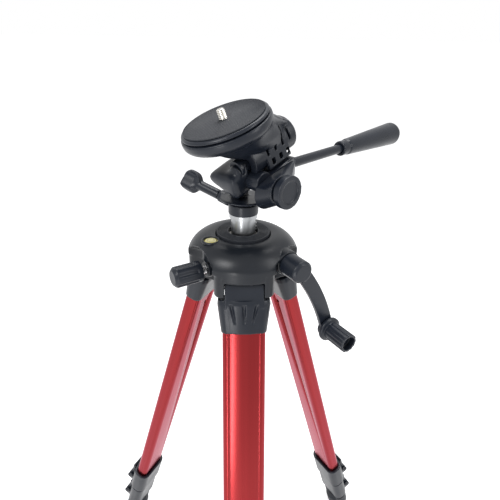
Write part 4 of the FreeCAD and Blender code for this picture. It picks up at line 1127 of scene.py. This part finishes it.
mesh = softened_mesh("pan_lock_wing", *WING_SOFTNESS)
reshape(mesh, wing_frame, bent_wing)
stand_in("pan_lock_wing", mesh)
print("wing half width %.1f mm" % wing_half)

# %% [markdown]
# ## Crank knob
# The knob on the crank is a fluted sleeve with a flange and a hollow end.  It is turned: the flutes are
# a cosine round the wall, and the profile goes back inside at the end to make the hollow.

# %% Fluted hollow knob
FLUTES = 12
FLUTE_DEPTH = 0.55
FLUTE_POWER = 3               # above one, the flutes are narrower than the ridges
FLUTE_START = 5.0             # above the knob's base
SLEEVE_RADIUS = 8.4
ROUND_BELOW = SLEEVE_RADIUS - 1.0             # smaller radii get no flutes
SLEEVE_START = 6.2
SLEEVE_WALL = 2.2
HOLLOW_DEPTH = 5.6
FLANGE_HEIGHT = 3.2
NECK_HEIGHT = 4.0
NECK_INSET = 0.6
knob_low, knob_high = (corner / MM for corner in extent("crank_knob", crank_knob_frame))
flange_radius = max(knob_high.x, -knob_low.x)
hollow_radius = SLEEVE_RADIUS - SLEEVE_WALL
knob_base, knob_end = knob_low.z, knob_high.z


def fluted(radius, angle, height):
    if radius < ROUND_BELOW or height < knob_base + FLUTE_START:
        return radius
    return radius - FLUTE_DEPTH * (0.5 - 0.5 * math.cos(FLUTES * angle)) ** FLUTE_POWER


# The third number of a point is the radius of its corner.
profile = round_corners(
    [(0, knob_base), (flange_radius, knob_base, 0.9), (flange_radius, knob_base + FLANGE_HEIGHT, 1.2),
     (SLEEVE_RADIUS - NECK_INSET, knob_base + NECK_HEIGHT, 0.6),
     (SLEEVE_RADIUS, knob_base + SLEEVE_START, 1.0), (SLEEVE_RADIUS, knob_end, 0.8),
     (hollow_radius, knob_end, 0.6), (hollow_radius, knob_end - HOLLOW_DEPTH, 0.6),
     (0, knob_end - HOLLOW_DEPTH)]
)
stand_in("crank_knob", turned("crank knob", profile, crank_knob_frame, 144, fluted))
print("knob %.1f mm long" % (knob_end - knob_base))

# %% [markdown]
# ## Bubble level
# A small round level sits in the crown: yellow-green liquid, with a black ring to centre the bubble in.
# The bubble is a shallow lens of its own, with its top level with the liquid's.

# %% Rings and small pieces
RING_SEGMENTS = 72
RING_CORNER = 0.8             # share of the half width


def ring_mesh(name, radius, wide, low, high, matrix):
    """Ring with a rounded top: its small section is swept once round."""
    size = RING_CORNER * wide
    corners = [(wide, low), (wide, high, size), (-wide, high, size), (-wide, low)]
    section = round_corners(corners, steps=3)
    bm = bmesh.new()
    rings = []
    for offset, height in section:
        ring = []
        for i in range(RING_SEGMENTS):
            angle = 2 * math.pi * i / RING_SEGMENTS
            reach = radius + offset
            spot = Vector((reach * math.cos(angle), reach * math.sin(angle), height))
            ring.append(bm.verts.new(matrix @ (spot * MM)))
        rings.append(ring)
    join_rings(bm, rings, closed=True)
    return finish_mesh(bm, name)


def extra_piece(name, mesh, material, node):
    """A small piece that rides with a CAD part's body and takes the finish it is given."""
    piece = bpy.data.objects.new(name, mesh)
    bpy.context.collection.objects.link(piece)
    mesh.materials.append(material)
    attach(piece, body_of_node[node])
    return piece


level_low, level_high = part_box("bubble_level_vial")
level_middle = (level_low + level_high) / 2
level_radius = (level_high.x - level_low.x) / 2 / MM
level_frame = Matrix.Translation(Vector((level_middle.x, level_middle.y, level_high.z)))
print("level radius %.1f mm" % level_radius)

# %% [markdown]
# The bubble and the target ring are shares of the level's radius, and the rim stands just outside it.
# A ring is given its radius, its half width, and its bottom and top, measured from the level's top.

# %% Bubble, target ring and rim
BUBBLE_SHARE = 0.34
TARGET_SHARE = 0.52
RIM_OUTSIDE = 1.1
pale = liquid_finish("bubble", (0.66, 0.60, 0.34, 1), (0.72, 0.67, 0.42, 1), 0.1, 0.0)
bubble_radius = BUBBLE_SHARE * level_radius
lens = round_corners([(0, -0.35), (bubble_radius, -0.3), (bubble_radius, -0.1), (0, 0.0)], 0.5)
extra_piece("level_bubble", turned("bubble", lens, level_frame, 64), pale, "bubble_level_vial")
target = ring_mesh("target ring", TARGET_SHARE * level_radius, 0.16, -0.3, 0.05, level_frame)
extra_piece("level_target_ring", target, soft_rubber, "bubble_level_vial")
rim = ring_mesh("level rim", level_radius + RIM_OUTSIDE, 0.95, -2.0, 0.55, level_frame)
extra_piece("level_rim", rim, crown_plastic, "crown_casting")
print("bubble radius %.1f mm" % bubble_radius)

# %% [markdown]
# ## Column lock screw
# The bare stretch of thread between the crown and the lock knob is plated steel.  It uses the same
# winding wall as the camera screw, with a coarser pitch.

# %% Lock screw with its thread
LOCK_PITCH = 1.5
LOCK_DEPTH = 0.75
LOCK_ROW = 0.12
lock_low, lock_high = (corner / MM for corner in extent("column_lock_screw", lock_frame))
lock_radius = lock_high.x


def lock_wall(radius, angle, height):
    return thread(radius, angle, height, LOCK_PITCH, LOCK_DEPTH)


rows = int((lock_high.z - lock_low.z) / LOCK_ROW)
step = (lock_high.z - lock_low.z) / rows
thread_rows = [(lock_radius, lock_low.z + step * i) for i in range(rows + 1)]
profile = [(0, lock_low.z)] + thread_rows + [(0, lock_high.z)]
stand_in("column_lock_screw", turned("lock screw", profile, lock_frame, 48, lock_wall))
print("lock thread rows", rows)

# %% [markdown]
# ## Smooth shading for turned and extruded parts
# Shafts, pins and inner tubes keep their CAD mesh, but its facets shouldn't show.  Shading should be
# smooth across a gentle turn and sharp across a real corner, so a small geometry-node tree marks the
# edges by their angle.

# %% Smooth by angle
GENTLE_TURN = math.radians(32)


def build_smoother():
    tree = bpy.data.node_groups.new("smooth by angle", "GeometryNodeTree")
    tree.interface.new_socket(name="Geometry", in_out="INPUT", socket_type="NodeSocketGeometry")
    tree.interface.new_socket(name="Geometry", in_out="OUTPUT", socket_type="NodeSocketGeometry")
    inside = tree.nodes.new("NodeGroupInput")
    outside = tree.nodes.new("NodeGroupOutput")
    merge = tree.nodes.new("GeometryNodeMergeByDistance")
    merge.inputs["Distance"].default_value = WELD_DISTANCE
    faces = tree.nodes.new("GeometryNodeSetShadeSmooth")
    edges = tree.nodes.new("GeometryNodeSetShadeSmooth")
    edges.domain = "EDGE"
    angle = tree.nodes.new("GeometryNodeInputMeshEdgeAngle")
    gentle = add_node(tree, "ShaderNodeMath", operation="LESS_THAN")
    gentle.inputs[1].default_value = GENTLE_TURN
    link(tree, inside.outputs[0], merge.inputs[0])
    link(tree, merge.outputs[0], faces.inputs[0])
    link(tree, faces.outputs[0], edges.inputs[0])
    link(tree, angle.outputs[0], gentle.inputs[0])
    link(tree, gentle.outputs[0], edges.inputs["Shade Smooth"])
    link(tree, edges.outputs[0], outside.inputs[0])
    return tree


smoother = build_smoother()


def smooth_shading(thing):
    thing.modifiers.new("smooth by angle", "NODES").node_group = smoother


print("nodes in the smoother", len(smoother.nodes))

# %% [markdown]
# ## Saddle
# The saddle looks like a folded pad.  Heavy smoothing rounds its corners and shrinks it a little, so its
# skin then moves out again.

# %% Puffed saddle
SADDLE_PUFF = 1.1
SADDLE_SOFTNESS = (1.0, 130)
saddle_mesh = softened_mesh("tilt_saddle", *SADDLE_SOFTNESS)
reshape(saddle_mesh, side_frame, lambda place, normal: normal * SADDLE_PUFF)
stand_in("tilt_saddle", saddle_mesh)
print("saddle faces", len(saddle_mesh.polygons))

# %% [markdown]
# ## Drum about the tilt axis
# An added filler between the saddle and the side cover, meant to keep the background from showing
# through there.  It isn't a copy of a known part.  It is round about the tilt axis, so tilting doesn't
# change its outline, and at rest it clears the pan housing by about 0.8 mm.  It does cut a little into
# the platform shell, at rest and when the platform flips.

# %% Turned drum
DRUM_RADIUS = 8.3
DRUM_START, DRUM_END = 0.8, 23.5
DRUM_CORNER = 1.0
drum = round_corners(
    [(0, DRUM_START), (DRUM_RADIUS, DRUM_START, DRUM_CORNER),
     (DRUM_RADIUS, DRUM_END, DRUM_CORNER), (0, DRUM_END)]
)
extra_piece("tilt_pivot_drum", turned("pivot drum", drum, side_frame, 96), black_plastic, "tilt_side_cover")
print("drum %.1f mm wide" % (DRUM_END - DRUM_START))

# %% [markdown]
# ## Soften the rest
# Most of the other moulded parts keep their CAD shape under the same modifiers.  Each row gives the
# voxel in millimetres and the number of passes: the pan housing is well rounded, and a clamp only
# loses its sharp edge.  The parts that aren't named here get smooth shading.

# %% Soft edges for the moulded parts
SOFTNESS = {
    "tilt_side_cover": (0.7, 10), "pan_housing": (0.7, 26), "tilt_friction_knob": (0.5, 6),
    "crown_casting": (0.75, 6), "quick_plate": (0.5, 4), "plate_release_tab": (0.45, 3),
    "crank_arm": (0.5, 4), "column_lock_knob": (0.45, 4), "head_base_ring": (0.4, 2),
    "pan_handle_grip": (0.7, 6), "flip_shaft": (0.6, 2),
}
LEG_SOFTNESS = {
    "upper_clamp": (0.7, 4), "upper_lever": (0.6, 5),
    "lower_clamp": (0.7, 4), "lower_lever": (0.6, 5), "foot": (0.8, 6),
}
for leg in LEGS:
    for part, softness in LEG_SOFTNESS.items():
        SOFTNESS[leg + "_" + part] = softness
for node, (voxel, passes) in SOFTNESS.items():
    soften(frame["nodes"][node], voxel, passes)
for node, thing in frame["nodes"].items():
    if node not in SOFTNESS:
        smooth_shading(thing)
print("softened", len(SOFTNESS))

# %% [markdown]
# ## Dress the CAD parts
# Each CAD part takes its finish here, the hidden ones too.

# %% Materials on the CAD parts
for node, thing in frame["nodes"].items():
    thing.data.materials.clear()
    thing.data.materials.append(finish_of(node))
print("dressed", len(frame["nodes"]))
